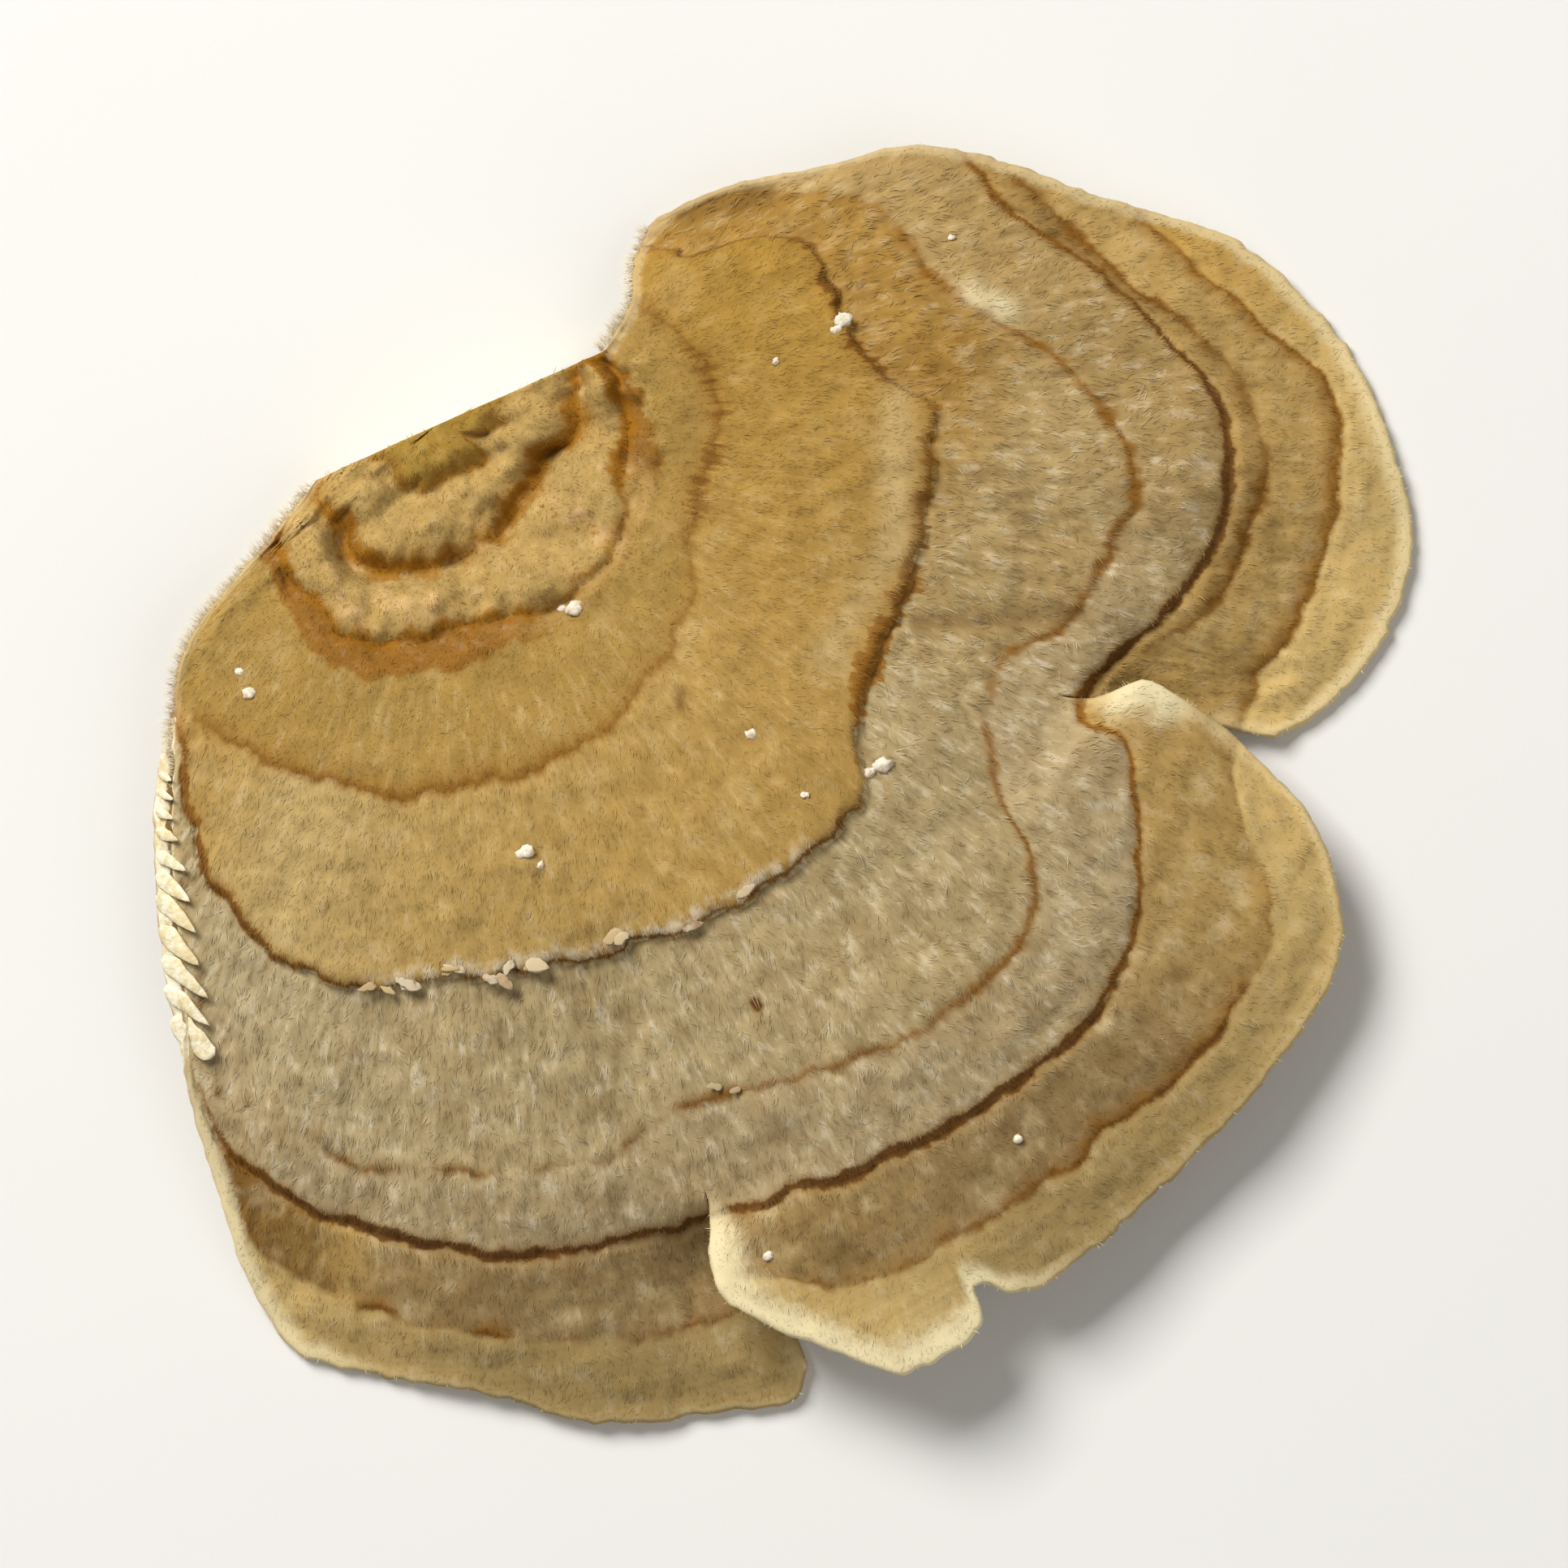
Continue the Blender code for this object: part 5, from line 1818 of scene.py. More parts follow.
@dataclass(frozen=True)
class PoreFinish:
    """The pore side: cream, with round pores three or four to the millimetre and a smooth border."""

    cream: Paint = paint(222, 208, 170)
    warm: Paint = paint(204, 182, 132)
    # Brown of the painted shade in the pores
    hole: Paint = paint(128, 98, 58)
    roughness: float = 0.85
    pores_per_metre: float = 3400.0

    def material(self) -> Material:
        """Build the shader: cells of a Voronoi pattern are the pores, and their borders the walls.

        Returns:
            The material.
        """
        nodes = Nodes("pore_side", self.roughness, 0.25)
        spot = nodes.spot()
        mottle = nodes.noise(spot, 350.0, 3.0, 0.6)
        settings = {"voronoi_dimensions": "2D", "feature": "DISTANCE_TO_EDGE"}
        inputs = {"Vector": spot, "Scale": self.pores_per_metre, "Randomness": 0.7}
        wall = nodes.value("ShaderNodeTexVoronoi", settings, inputs)
        border = nodes.rise(nodes.mark("edge")[0], 1.3, 0.7)
        # Painted shade: the pores are brown in their hollows; the same mask sinks them in the bump
        hole = nodes.rise(wall, 0.08, 0.22) * (1 - border)
        warm = nodes.rise(mottle, 0.35, 0.7)
        colour = nodes.layers(self.cream, (warm, self.warm), (hole * 0.8, self.hole))
        return nodes.finish(colour, 1 - hole, 0.08)


@dataclass(frozen=True)
class FleshFinish:
    """Torn and cut flesh: white to cream and fibrous, with painted shadow in brown behind the scales of the
    torn edge.
    """

    white: Paint = paint(236, 228, 200)
    cream: Paint = paint(214, 194, 146)
    # Brown of the painted shadow behind the scales
    brown: Paint = paint(120, 90, 48)
    roughness: float = 0.9

    def material(self) -> Material:
        """Build the shader: fibres are noise stretched upwards.

        Returns:
            The material.
        """
        nodes = Nodes("flesh", self.roughness, 0.2)
        spot = nodes.spot()
        across, torn = nodes.mark("edge")[2], nodes.mark("stain")[1]
        stretched = nodes.node("ShaderNodeMapping", {}, {"Vector": spot, "Scale": (1.0, 1.0, 0.35)})
        fibres = nodes.noise(stretched.outputs[0], 4200.0, 3.0, 0.6)
        pale = nodes.rise(fibres * 0.6 + nodes.noise(spot, 700.0) * 0.5, 0.42, 0.68)
        # Painted shadow: brown high on the torn slope, behind the scales
        behind = torn * nodes.rise(across + (fibres - 0.5) * 0.4, 0.42, 0.24)
        colour = nodes.layers(self.white, (pale, self.cream), (behind, self.brown))
        return nodes.finish(colour, fibres, 0.06)


@dataclass(frozen=True)
class GrainFinish:
    """Off-white crumbs that lie on the felt."""

    white: Paint = paint(226, 216, 196)
    cream: Paint = paint(206, 182, 148)

    def material(self) -> Material:
        """Build the shader: a soft mottle of the two colours.

        Returns:
            The material.
        """
        nodes = Nodes("crumb", 0.8, 0.3)
        mottle = nodes.noise(nodes.spot(), 4000.0)
        colour = nodes.mix(nodes.rise(mottle, 0.4, 0.7), self.white, self.cream)
        return nodes.finish(colour, mottle, 0.03)


@dataclass(frozen=True)
class FloorFinish:
    """A plain pale surface."""

    pale: Paint = paint(222, 220, 215)

    def material(self) -> Material:
        """Build the shader: a barely visible mottle.

        Returns:
            The material.
        """
        nodes = Nodes("pale_floor", 0.9, 0.2)
        mottle = nodes.noise(nodes.spot(), 60.0)
        return nodes.finish(nodes.shaded(self.pale, 0.985 + mottle * 0.03), mottle, 0.02)


@dataclass(frozen=True)
class Nap:
    """The hairs of one zone of the felt, as fine bent cones that lie outwards.

    Attributes:
        name: the piece's name.
        first_stage: where the zone begins.
        last_stage: where it ends.
        density: hairs to a square millimetre.
        length: shortest and longest hair.
        rise: how high the middle of a hair stands above the felt.
        radius: half a hair's thickness at its root.
        yaw: how far hairs turn aside, in degrees, in tufts and one by one.
        tuft: how wide a tuft is.
        gather: how much the hairs of a tuft meet at its tip, from 0 to 1.
        seed: which random draws.
        kind: 1 for hairs of the felt's colour, 2 for pale ones.
        carries: 1 where hairs cross the growth lines outwards, 0 where they don't.
        full_length: hairs nearer to the edge than this are shorter.
    """

    name: str
    first_stage: float
    last_stage: float
    density: float
    length: tuple[float, float]
    rise: float
    radius: float
    yaw: tuple[float, float]
    tuft: float
    gather: float
    seed: int
    kind: float = 1.0
    carries: float = 1.0
    full_length: float = 0.6

    def build(self, patches: Sequence[Patch], felt: Material) -> Piece:
        """Grow the hairs: each cell of the felt's grid gets as many as its area calls for.

        Args:
            patches: the felted sides.
            felt: their finish.

        Returns:
            The piece.
        """
        draw = np.random.default_rng(self.seed)
        found = []
        for patch in patches:
            rows = np.flatnonzero((patch.stages >= self.first_stage) & (patch.stages <= self.last_stage))
            if len(rows) > 1:
                found.append(self.roots(patch.sheet.part(np.s_[:, rows[0] : rows[-1] + 1]), draw))
        root = Sheet.joined([some[0] for some in found])
        forth, aside = (np.concatenate([some[k] for some in found]) for k in (1, 2))
        scale = np.clip(root.marks["edge"][:, 0] / self.full_length, 0.3, 1.0)
        return self.grow(root, forth, aside, scale, draw, felt)

    def grow(
        self, root: Sheet, forth: Array, aside: Array, scale: Array, draw: Draw, felt: Material
    ) -> Piece:
        """Make the hairs of their roots.

        A hair leaves the felt at its root, is highest at its middle and comes down again at its tip.
        Three points stand around its root and its middle, and one is its tip. Tufts are the cells of
        a grid with wavy borders, and the hairs of each bend towards its middle. Normals lean
        upwards, so that hairs take the light as the felt under them does.

        Args:
            root: the roots and their marks.
            forth: the way each hair points.
            aside: a way across that, along the felt.
            scale: a factor on each hair's length.
            draw: random draws.
            felt: the finish.

        Returns:
            The piece.
        """
        start = root.points
        count = len(start)
        x, y = start[:, 0] / self.tuft, start[:, 1] / self.tuft
        i = np.floor(x + 0.5 * cloud(x * 0.9, y * 0.9, self.seed + 60)).astype(np.int64)
        j = np.floor(y + 0.5 * cloud(x * 0.9, y * 0.9, self.seed + 61)).astype(np.int64)
        heart = [i + 0.5 + 0.3 * hashed(i, j, self.seed), j + 0.5 + 0.3 * hashed(j, i, self.seed)]
        heart = np.stack(heart, axis=-1)
        up = unit(np.cross(aside, forth))
        up = up * np.sign(up[:, 2:3])
        swirl = cloud(start[:, 0] / 0.9, start[:, 1] / 0.9, self.seed + 50, 2)
        turn = np.radians(self.yaw[0] * swirl + self.yaw[1] * draw.normal(size=count))
        way = unit(forth * np.cos(turn)[:, None] + aside * np.sin(turn)[:, None])
        length = scale * draw.uniform(*self.length, size=count)
        lift = self.rise * draw.uniform(0.3, 1.0, size=count)
        pull = np.pad(heart * self.tuft - start[:, :2], ((0, 0), (0, 1))) * self.gather
        pull = pull - up * np.sum(pull * up, axis=1, keepdims=True)
        middle = start + way * (0.5 * length)[:, None] + up * lift[:, None] + pull * 0.35
        lift = lift * draw.uniform(0.2, 1.0, size=count)
        tip = start + way * length[:, None] + up * lift[:, None] + pull
        flank = unit(np.cross(tip - start, up))
        angle = np.radians([90.0, 210.0, 330.0])[:, None]
        ring = flank[:, None] * np.cos(angle) + 0.5 * up[:, None] * np.sin(angle)
        wide = self.radius * draw.uniform(0.7, 1.2, size=count)[:, None, None]
        low = start[:, None] - self.radius * 1.5 * up[:, None] + ring * wide
        mid = middle[:, None] + ring * wide * 0.85
        points = np.concatenate([low, mid, tip[:, None]], axis=1)
        normals = unit(up[:, None] + 0.45 * np.concatenate([ring, ring, way[:, None]], axis=1))
        along = np.array([0, 0, 0, 0.5, 0.5, 0.5, 1.0])
        spread = root.spread(len(along))
        outwards = np.sum((tip - start) * forth, axis=1)[:, None] * along * self.carries
        spread["ray"][..., 1] += outwards
        spread["edge"][..., 0] -= outwards
        for line in LINES:
            spread[line.mark][..., 0] += outwards
        chance = 0.35 * draw.uniform(size=count) + 0.325 * (1 + hashed(i, j, self.seed + 62))
        spread["hair"][..., 0] = chance[:, None]
        spread["hair"][..., 1] = along
        spread["hair"][..., 2] = self.kind
        starts = (np.arange(count) * len(along))[:, None, None]
        walls = (starts + np.array([[0, 3, 4, 1], [1, 4, 5, 2], [2, 5, 3, 0]])).reshape(-1, 4).tolist()
        ends = (starts + np.array([[0, 1, 2], [3, 6, 4], [4, 6, 5], [5, 6, 3]])).reshape(-1, 3).tolist()
        piece = made(self.name, Sheet(points, spread).flat(), walls + ends, [felt])
        piece.data.normals_split_custom_set_from_vertices(normals.reshape(-1, 3).tolist())
        flatten_uv(piece)
        return fit(piece)

    def roots(self, sheet: Sheet, draw: Draw) -> tuple[Sheet, Array, Array]:
        """Scatter roots over a sheet.

        Args:
            sheet: part of a felted side.
            draw: random draws.

        Returns:
            The roots, and the outward and the sideways direction at each.
        """
        points = sheet.points
        outward = points[:-1, 1:] - points[:-1, :-1]
        sideways = points[1:, :-1] - points[:-1, :-1]
        area = np.linalg.norm(np.cross(outward, sideways), axis=-1)
        share = np.floor(self.density * area + draw.random(area.shape)).astype(int)
        ray, row = np.divmod(np.repeat(np.arange(area.size), share.ravel()), area.shape[1])
        u, v = draw.random((2, len(ray), 1))

        def between(grid: Array) -> Array:
            """Values at the chosen places in their cells, blended from the four corners.

            Args:
                grid: values at the corners.

            Returns:
                Those at the places.
            """
            near = grid[ray, row] * (1 - v) + grid[ray, row + 1] * v
            far = grid[ray + 1, row] * (1 - v) + grid[ray + 1, row + 1] * v
            return near * (1 - u) + far * u

        marks = {name: between(mark) for name, mark in sheet.marks.items()}
        return Sheet(between(points), marks), unit(outward[ray, row]), unit(sideways[ray, row])


@dataclass(frozen=True)
class Fringe(Nap):
    """Pale fuzz that stands out from the rims, thickest at the back of the ear and beside the cut.

    Attributes:
        thick: hairs to a millimetre where it is thickest.
        thin: hairs to a millimetre elsewhere.
        depth: how far below the upper edge the roots reach.
        short: length where it is thin, as a share.
        lowest: least height of a root.
        furred_from: bearings between which the left edge grows furred.
        furred_to: bearings between which it ends.
    """

    thick: float = 110.0
    thin: float = 6.0
    depth: float = 0.4
    short: float = 0.35
    lowest: float = 0.05
    furred_from: tuple[float, float] = (124.0, 131.0)
    furred_to: tuple[float, float] = (151.0, 155.0)

    def edging(self, borders: Sequence[Edge], felt: Material) -> Piece:
        """Grow the fuzz.

        Roots lie along each lobe's upper edge and up to depth below it, thick of them to a
        millimetre on the stretches that are furred and thin elsewhere. They point outwards.

        Args:
            borders: each lobe's upper edge.
            felt: the finish.

        Returns:
            The piece.
        """
        draw = np.random.default_rng(self.seed)
        roots, outwards, sideways, scales = [], [], [], []
        for number, border in enumerate(borders):
            points = border.line.points
            step = np.diff(points, axis=0)
            length = np.linalg.norm(step, axis=1)
            bearing = np.degrees(border.line.marks["ray"][:-1, 0])
            back = (border.where[:-1] < 1.0) & (number == 0)
            furred = np.maximum(back, ramp(bearing, *self.furred_from))
            furred = furred * (1 - ramp(bearing, *self.furred_to))
            expected = length * (self.thin + (self.thick - self.thin) * furred)
            count = np.floor(expected + draw.random(len(expected))).astype(int)
            chosen = np.repeat(np.arange(len(count)), count)
            share = draw.random((len(chosen), 1))
            along = unit(step[chosen])
            out = unit(np.stack([-along[:, 1], along[:, 0], 0.25 * draw.normal(size=len(chosen))], axis=-1))
            root = points[chosen] + step[chosen] * share + 0.04 * out
            root[:, 2] -= self.depth * draw.random(len(chosen))
            root[:, 2] = np.maximum(root[:, 2], self.lowest)
            roots.append(Sheet(root, border.line.part(chosen).marks))
            outwards.append(out)
            sideways.append(along)
            scales.append(self.short + (1 - self.short) * furred[chosen])
        ways = [np.concatenate(some) for some in (outwards, sideways, scales)]
        return self.grow(Sheet.joined(roots), *ways, draw, felt)


def tubes(name: str, rings: Array, marks: Marks, finish: Material) -> Piece:
    """A piece of closed tubes: faces between the rings of each, and one over each of its ends.

    Args:
        name: the piece's name.
        rings: points, tubes by rings by points of a ring.
        marks: the points' marks, if they have any.
        finish: the finish.

    Returns:
        The piece, fixed to the frame.
    """
    numbers = np.arange(rings[..., 0].size).reshape(rings.shape[:3])
    ring = np.concatenate([numbers, numbers[:, :, :1]], axis=2)
    corners = [ring[:, :-1, :-1], ring[:, :-1, 1:], ring[:, 1:, 1:], ring[:, 1:, :-1]]
    faces = np.stack(corners, axis=-1).reshape(-1, 4).tolist()
    faces += numbers[:, 0, ::-1].tolist() + numbers[:, -1].tolist()
    return fit(cleaned(made(name, Sheet(rings.reshape(-1, 3), marks), faces, [finish])))


@dataclass(frozen=True)
class Scales:
    """Scales of torn flesh on the left edge, like roof tiles, with their tips turned inwards.

    Attributes:
        places: bearing and distance of the root, the same of the tip, half the width, and how blunt.
        thickness: how thick a scale is in its middle.
        clear: how far the root and the tip stand above the slope.
    """

    places: tuple[tuple[float, ...], ...] = (
        (128.6, 14.1, 126.6, 14.0, 0.17, 0.3), (127.4, 14.6, 125.0, 14.45, 0.18, 0.3),
        (126.1, 15.1, 123.6, 14.95, 0.2, 0.3), (124.8, 15.6, 121.8, 15.45, 0.23, 0.3),
        (123.2, 16.2, 119.2, 16.15, 0.28, 0.3), (122.0, 16.75, 117.2, 16.95, 0.34, 0.2),
        (120.8, 17.3, 115.2, 17.75, 0.38, 0.1), (118.9, 18.15, 113.6, 18.65, 0.38, 0.3),
        (117.3, 18.95, 111.6, 19.5, 0.38, 0.2), (115.8, 19.75, 110.6, 20.3, 0.36, 0.1),
        (114.0, 20.55, 109.4, 21.2, 0.42, 1.0),
    )
    thickness: float = 0.16
    clear: tuple[float, float] = (0.02, 0.2)

    def build(self, form: CapForm, flesh: Material) -> Piece:
        """Make the scales.

        Along a scale its half width is a power of what is left of its length, a square root where it
        is blunt. A ring is a flat ellipse across it. The scale follows the torn slope and rises from
        it towards its tip.

        Args:
            form: the cap's heights.
            flesh: the finish.

        Returns:
            The piece.
        """
        root_bearing, root_far, tip_bearing, tip_far, wide, blunt = np.array(self.places).T
        root = np.stack(place(root_bearing, root_far), axis=-1)[:, None, None]
        tip = np.stack(place(tip_bearing, tip_far), axis=-1)[:, None, None]
        u = np.linspace(0.0, 1.0, 13)[None, :, None]
        turn = circle(16)
        forth = unit(tip - root)
        across = np.stack([-forth[..., 1], forth[..., 0]], axis=-1)
        power = (0.85 - 0.55 * blunt)[:, None, None]
        half = wide[:, None, None] * np.maximum(1 - u, 0.002) ** power
        half = half * (0.9 + 0.5 * u) * ramp(u, -0.15, 0.25)
        number = np.arange(len(wide))[:, None, None]
        wavy = 1 + 0.16 * cloud(u * 5.0, number * 3.7 + np.cos(turn), 71, 2)
        side = half * np.cos(turn) * wavy
        flat = root + (tip - root) * u[..., None] + across * side[..., None]
        bearing = GROWTH_BEARING + np.degrees(np.arctan2(flat[..., 0], flat[..., 1]))
        far = np.hypot(flat[..., 0], flat[..., 1])
        camber = 0.1 * (1 - np.cos(turn) ** 2) * (1 - u)
        body = self.thickness * np.maximum(1 - u, 0.02) ** 0.6 * np.sin(turn) / 2
        rough = 0.02 * cloud(flat[..., 0] / 0.2, flat[..., 1] / 0.2, 72, 2)
        height = form.torn_height(bearing, far) + self.clear[0] + self.clear[1] * u + camber + body + rough
        return tubes("torn_scales", np.concatenate([flat, height[..., None]], axis=-1), {}, flesh)


@dataclass(frozen=True)
class Flakes:
    """Small pale flakes of felt that hang over growth lines.

    Attributes:
        stretches: line, first and last bearing, and how many flakes.
        inside: where they start, by the distance past their line.
        yaw: how far they turn from the outward way to either side, and the spread of that, in degrees.
        length: shortest and longest.
        slender: half the width over the length, least and most.
        thickness: how thick they are.
        hair: the hair mark, as on pale hairs, part of the way to the tip.
        seed: which random draws.
    """

    stretches: tuple[tuple[float, float, float, int], ...] = (
        (5.0, 52.0, 70.0, 4), (5.0, 78.0, 96.0, 12), (5.5, 62.0, 74.0, 2),
    )
    inside: tuple[float, float] = (-0.3, -0.05)
    yaw: tuple[float, float] = (85.0, 28.0)
    length: tuple[float, float] = (0.35, 0.8)
    slender: tuple[float, float] = (0.2, 0.4)
    thickness: float = 0.02
    hair: tuple[float, float, float] = (0.5, 0.5, 1.3)
    seed: int = 12

    def build(self, patches: Sequence[Patch], felt: Material) -> Piece:
        """Make the flakes.

        Each starts on a point of the felt just inside its line, lies more or less along the line and
        rises a little. Its rings are flat ellipses with uneven widths.

        Args:
            patches: the felted sides.
            felt: the finish.

        Returns:
            The piece.
        """
        whole = Sheet.joined([patch.sheet.flat() for patch in patches])
        draw = np.random.default_rng(self.seed)
        chosen = []
        for stage, first, last, count in self.stretches:
            offset = whole.marks[LINE_AT[stage].mark][:, 0]
            bearing = np.degrees(whole.marks["ray"][:, 0])
            fitting = (offset > self.inside[0]) & (offset < self.inside[1])
            fitting = fitting & (bearing > first) & (bearing < last)
            chosen.append(draw.choice(np.flatnonzero(fitting), count, replace=False))
        root = whole.part(np.concatenate(chosen))
        count = len(root.points)
        turned, spread = self.yaw
        yaw = np.where(draw.random(count) < 0.5, turned, -turned) + spread * draw.normal(size=count)
        yaw = np.radians(yaw)
        out = unit(root.points[:, :2])
        side = np.stack([out[:, 1], -out[:, 0]], axis=-1)
        forth = out * np.cos(yaw)[:, None] + side * np.sin(yaw)[:, None]
        length = draw.uniform(*self.length, size=count)
        half = length * draw.uniform(*self.slender, size=count)
        u = np.linspace(0.0, 1.0, 7)[None, :, None]
        turn = circle(8)
        width = 1.7 * np.sqrt(u + 0.02) * np.maximum(1 - u, 0.01) ** 0.7
        wavy = 1 + 0.55 * cloud(u * 4.0, np.arange(count)[:, None, None] * 3.1 + np.cos(turn), 75, 2)
        across = (half[:, None, None] * width * np.cos(turn) * wavy)[..., None]
        sideways = np.stack([-forth[:, 1], forth[:, 0]], axis=-1)[:, None, None]
        far = length[:, None, None] * u
        flat = root.points[:, None, None, :2] + forth[:, None, None] * far[..., None]
        flat = flat + across * sideways
        height = root.points[:, None, None, 2] + 0.05 + 0.1 * far * (1 - 0.7 * u)
        height = height + self.thickness * np.sin(turn) * width
        marks = root.part(np.repeat(np.arange(count), u.size * turn.size)).marks
        marks["hair"][:] = self.hair
        return tubes("lip_flakes", np.concatenate([flat, height[..., None]], axis=-1), marks, felt)


@dataclass(frozen=True)
class Crumbs:
    """Pale crumbs on the felt: round lumps, partly sunk in the hairs.

    Attributes:
        places: bearing, distance and size of each.
        roughness: how uneven their radius is.
        squash: their length, width and height over their size.
    """

    places: tuple[tuple[float, float, float], ...] = (
        (-14.3, 13.32, 0.5), (-13.2, 13.05, 0.28), (-10.5, 10.98, 0.24), (52.8, 7.28, 0.46),
        (55.4, 7.05, 0.26), (124.8, 10.35, 0.38), (128.5, 9.96, 0.26), (44.4, 14.0, 0.4),
        (37.2, 17.75, 0.52), (38.6, 17.6, 0.34), (45.0, 16.55, 0.26), (77.9, 13.81, 0.42),
        (76.3, 14.3, 0.26), (92.9, 17.75, 0.24), (50.8, 29.14, 0.26), (68.2, 28.32, 0.3),
        (-20.0, 17.4, 0.2),
    )
    roughness: float = 0.42
    squash: tuple[float, float, float] = (1.15, 0.9, 0.6)

    def build(self, patches: Sequence[Patch], white: Material) -> Piece:
        """Make the crumbs.

        Each is a ball of rings, whose radius is roughened with noise, and lies on the point of the
        felt nearest to its place.

        Args:
            patches: the felted sides.
            white: the finish.

        Returns:
            The piece.
        """
        felt = np.concatenate([patch.sheet.points.reshape(-1, 3) for patch in patches])
        bearing, far, size = np.array(self.places).T
        x, y = place(bearing, far)
        gap = (felt[None, :, 0] - x[:, None]) ** 2 + (felt[None, :, 1] - y[:, None]) ** 2
        ground = felt[np.argmin(gap, axis=1), 2]
        down = np.linspace(0.05, np.pi - 0.05, 10)[None, :, None]
        turn = circle(12)
        number = np.arange(len(size))[:, None, None] * 7.3
        wide, tall = np.sin(down), np.cos(down) + 0 * turn
        ball = np.stack([wide * np.cos(turn), wide * np.sin(turn), tall], axis=-1)
        rough = cloud(ball[..., 0] * 1.8 + number, ball[..., 1] * 1.8 + ball[..., 2] * 2.0, 91, 2)
        radius = size[:, None, None] / 2 * (1 + self.roughness * rough)
        points = ball * radius[..., None] * np.array(self.squash)
        points = points + np.stack([x, y, ground + 0.1 * size], axis=-1)[:, None, None]
        return tubes("crumbs", points, {}, white)


def flatten_uv(piece: Piece) -> None:
    """Give a piece a map seen from above: u and v are its points' places in its own box.

    Args:
        piece: the object.
    """
    mesh = piece.data
    points = np.zeros(len(mesh.vertices) * 3, np.float32)
    mesh.vertices.foreach_get("co", points)
    points = points.reshape(-1, 3)[:, :2]
    low, high = points.min(axis=0), points.max(axis=0)
    corner = np.zeros(len(mesh.loops), np.int32)
    mesh.loops.foreach_get("vertex_index", corner)
    share = 0.01 + 0.98 * (points - low) / (high - low)
    seen = mesh.uv_layers.new(name="OFBake")
    seen.data.foreach_set("uv", share[corner].astype(np.float32).ravel())


NAPS = (
    Nap("felt_centre", 0.0, 4.0, 95.0, (0.1, 0.24), 0.03, 0.013, (45.0, 32.0), 0.26, 0.5, 1),
    Nap("felt_ochre", 4.0, 5.0, 80.0, (0.16, 0.36), 0.026, 0.013, (24.0, 16.0), 0.28, 0.5, 2),
    Nap("felt_grey", 5.0, 6.0, 41.0, (0.25, 0.5), 0.034, 0.016, (24.0, 16.0), 0.42, 0.7, 3),
    Nap("felt_outer", 6.0, 8.0, 48.0, (0.2, 0.4), 0.026, 0.015, (24.0, 16.0), 0.36, 0.55, 4),
)
FRINGE = Fringe("fringe", 8.0, 8.0, 0.0, (0.2, 0.6), 0.03, 0.012, (15.0, 20.0), 0.3, 0.5, 5, 2.0, 0.0)


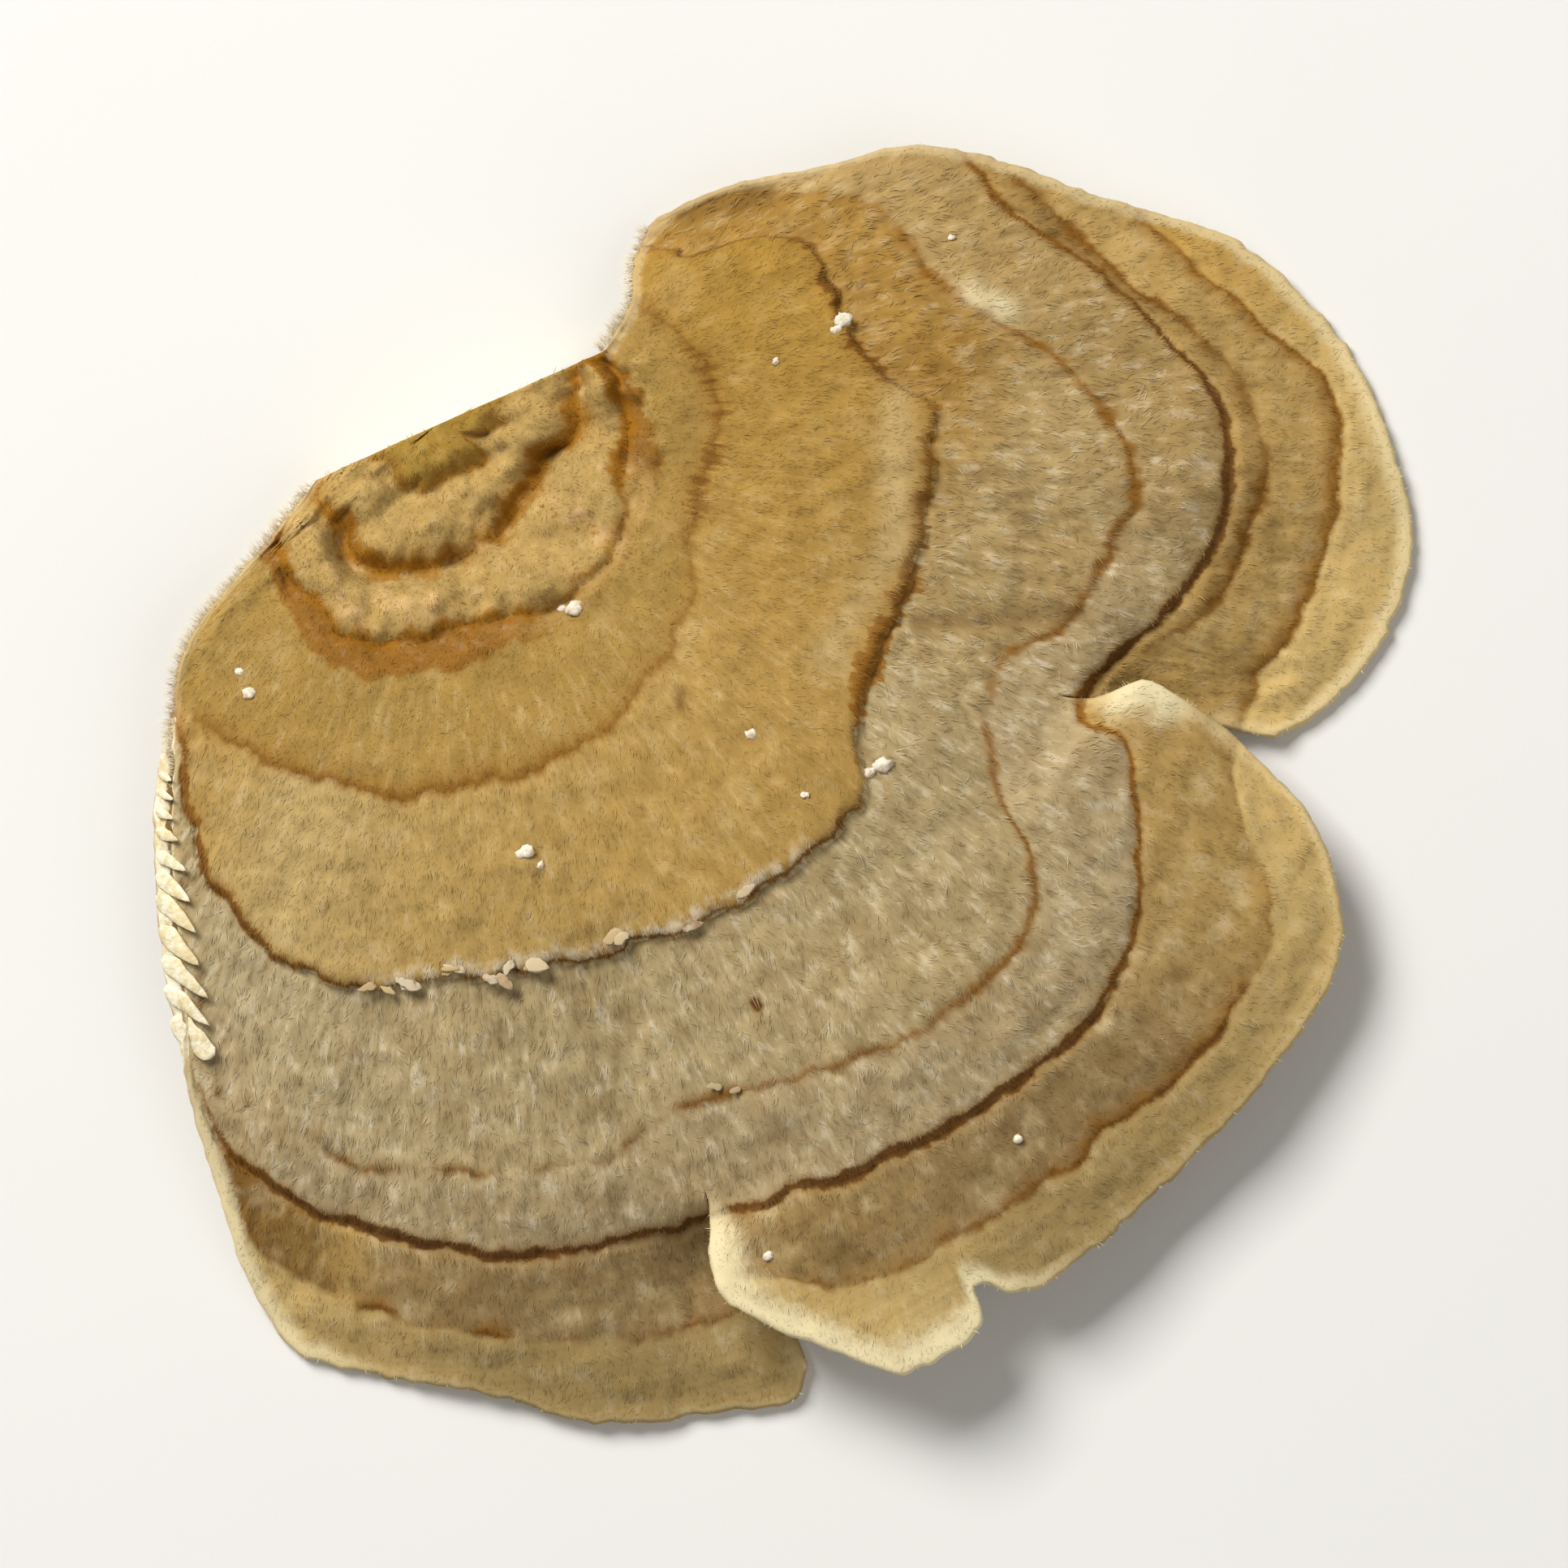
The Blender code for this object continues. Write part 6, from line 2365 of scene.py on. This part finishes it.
@dataclass(frozen=True)
class Studio:
    """Floor, lights and the camera above.

    Attributes:
        view_turn: how far the picture is turned round the upright, in degrees.
        middle: what the camera looks at, in millimetres in the frame.
        height: how high it stands.
        width: how much it sees across, at the floor.
        floor_rings: the radii of the floor's rings of points, from the middle outwards.
        floor_points: how many points each ring has.
    """

    view_turn: float = 156.0
    middle: tuple[float, float] = (0.127, -0.273)
    height: float = 400.0
    width: float = 50.0
    floor_rings: tuple[float, ...] = (0.0, 60.0, 200.0, 900.0)
    floor_points: int = 48

    def build(self) -> None:
        """Make all of it."""
        self.floor()
        self.camera()
        self.lights()

    def floor(self) -> None:
        """A round floor: rings of points that get wider outwards, level at 0."""
        radius = np.array(self.floor_rings)[:, None]
        turn = np.linspace(0, 2 * np.pi, self.floor_points + 1)[None, :-1]
        flat = [radius * np.cos(turn), radius * np.sin(turn), 0 * radius * turn]
        points = np.stack(flat, axis=-1)
        numbers = np.arange(points[..., 0].size).reshape(points.shape[:2])
        ring = np.concatenate([numbers, numbers[:, :1]], axis=1)
        corners = [ring[:-1, :-1], ring[1:, :-1], ring[1:, 1:], ring[:-1, 1:]]
        faces = np.stack(corners, axis=-1).reshape(-1, 4).tolist()
        sheet = Sheet(points.reshape(-1, 3) - CENTRE)
        floor = made("floor", sheet, faces, [FloorFinish().material()])
        working = bmesh.new()
        working.from_mesh(floor.data)
        bmesh.ops.remove_doubles(working, verts=working.verts, dist=1e-6)
        working.to_mesh(floor.data)
        working.free()

    def camera(self) -> None:
        """A long lens that looks straight down."""
        data = bpy.data.cameras.new("camera")
        data.lens = self.height / self.width * data.sensor_width
        camera = bpy.data.objects.new("camera", data)
        camera.location = (self.middle[0] * MM, self.middle[1] * MM, self.height * MM)
        camera.rotation_euler = (0.0, 0.0, np.radians(self.view_turn))
        bpy.context.scene.collection.objects.link(camera)
        bpy.context.scene.camera = camera

    def lights(self) -> None:
        """A large key from the picture's upper left, a weak fill opposite, and a pale surround."""
        turn = np.radians(self.view_turn)
        right = np.array([np.cos(turn), np.sin(turn), 0.0])
        up = np.array([-np.sin(turn), np.cos(turn), 0.0])
        for name, side, above, lean, power, size in (
            ("key", -0.75, 0.9, 46.0, 3.4, 0.22),
            ("fill", 0.9, -0.6, 50.0, 0.7, 0.5),
        ):
            flat = unit(side * right + above * up)
            way = flat * np.sin(np.radians(lean)) + np.array([0.0, 0.0, np.cos(np.radians(lean))])
            data = bpy.data.lights.new(name, "AREA")
            data.energy = power
            data.size = size
            lamp = bpy.data.objects.new(name, data)
            lamp.location = Vector(way * 0.5)
            lamp.rotation_mode = "QUATERNION"
            lamp.rotation_quaternion = Vector(-way).to_track_quat("-Z", "Y")
            bpy.context.scene.collection.objects.link(lamp)
        world = bpy.data.worlds.new("pale_surround")
        bpy.context.scene.world = world
        world.use_nodes = True
        world.node_tree.nodes["Background"].inputs["Color"].default_value = (1.0, 0.98, 0.95, 1.0)
        world.node_tree.nodes["Background"].inputs["Strength"].default_value = 0.22
        bpy.context.scene.view_settings.view_transform = "Standard"


def main() -> None:
    """Build the studio and the pieces in order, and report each."""
    logging.basicConfig(level=logging.INFO, format="%(name)s: %(message)s")
    Studio().build()
    felt, flesh = FeltFinish().material(), FleshFinish().material()
    cap, felted, borders = Cap().build([felt, PoreFinish().material(), flesh])
    pieces = [cap] + [nap.build(felted, felt) for nap in NAPS]
    pieces.append(FRINGE.edging(borders, felt))
    pieces.append(Scales().build(CapForm(), flesh))
    pieces.append(Flakes().build(felted, felt))
    pieces.append(Crumbs().build(felted, GrainFinish().material()))
    for piece in pieces:
        piece.data.calc_loop_triangles()
        LOG.info("%s: %d triangles", piece.name, len(piece.data.loop_triangles))


if __name__ == "__main__":
    main()
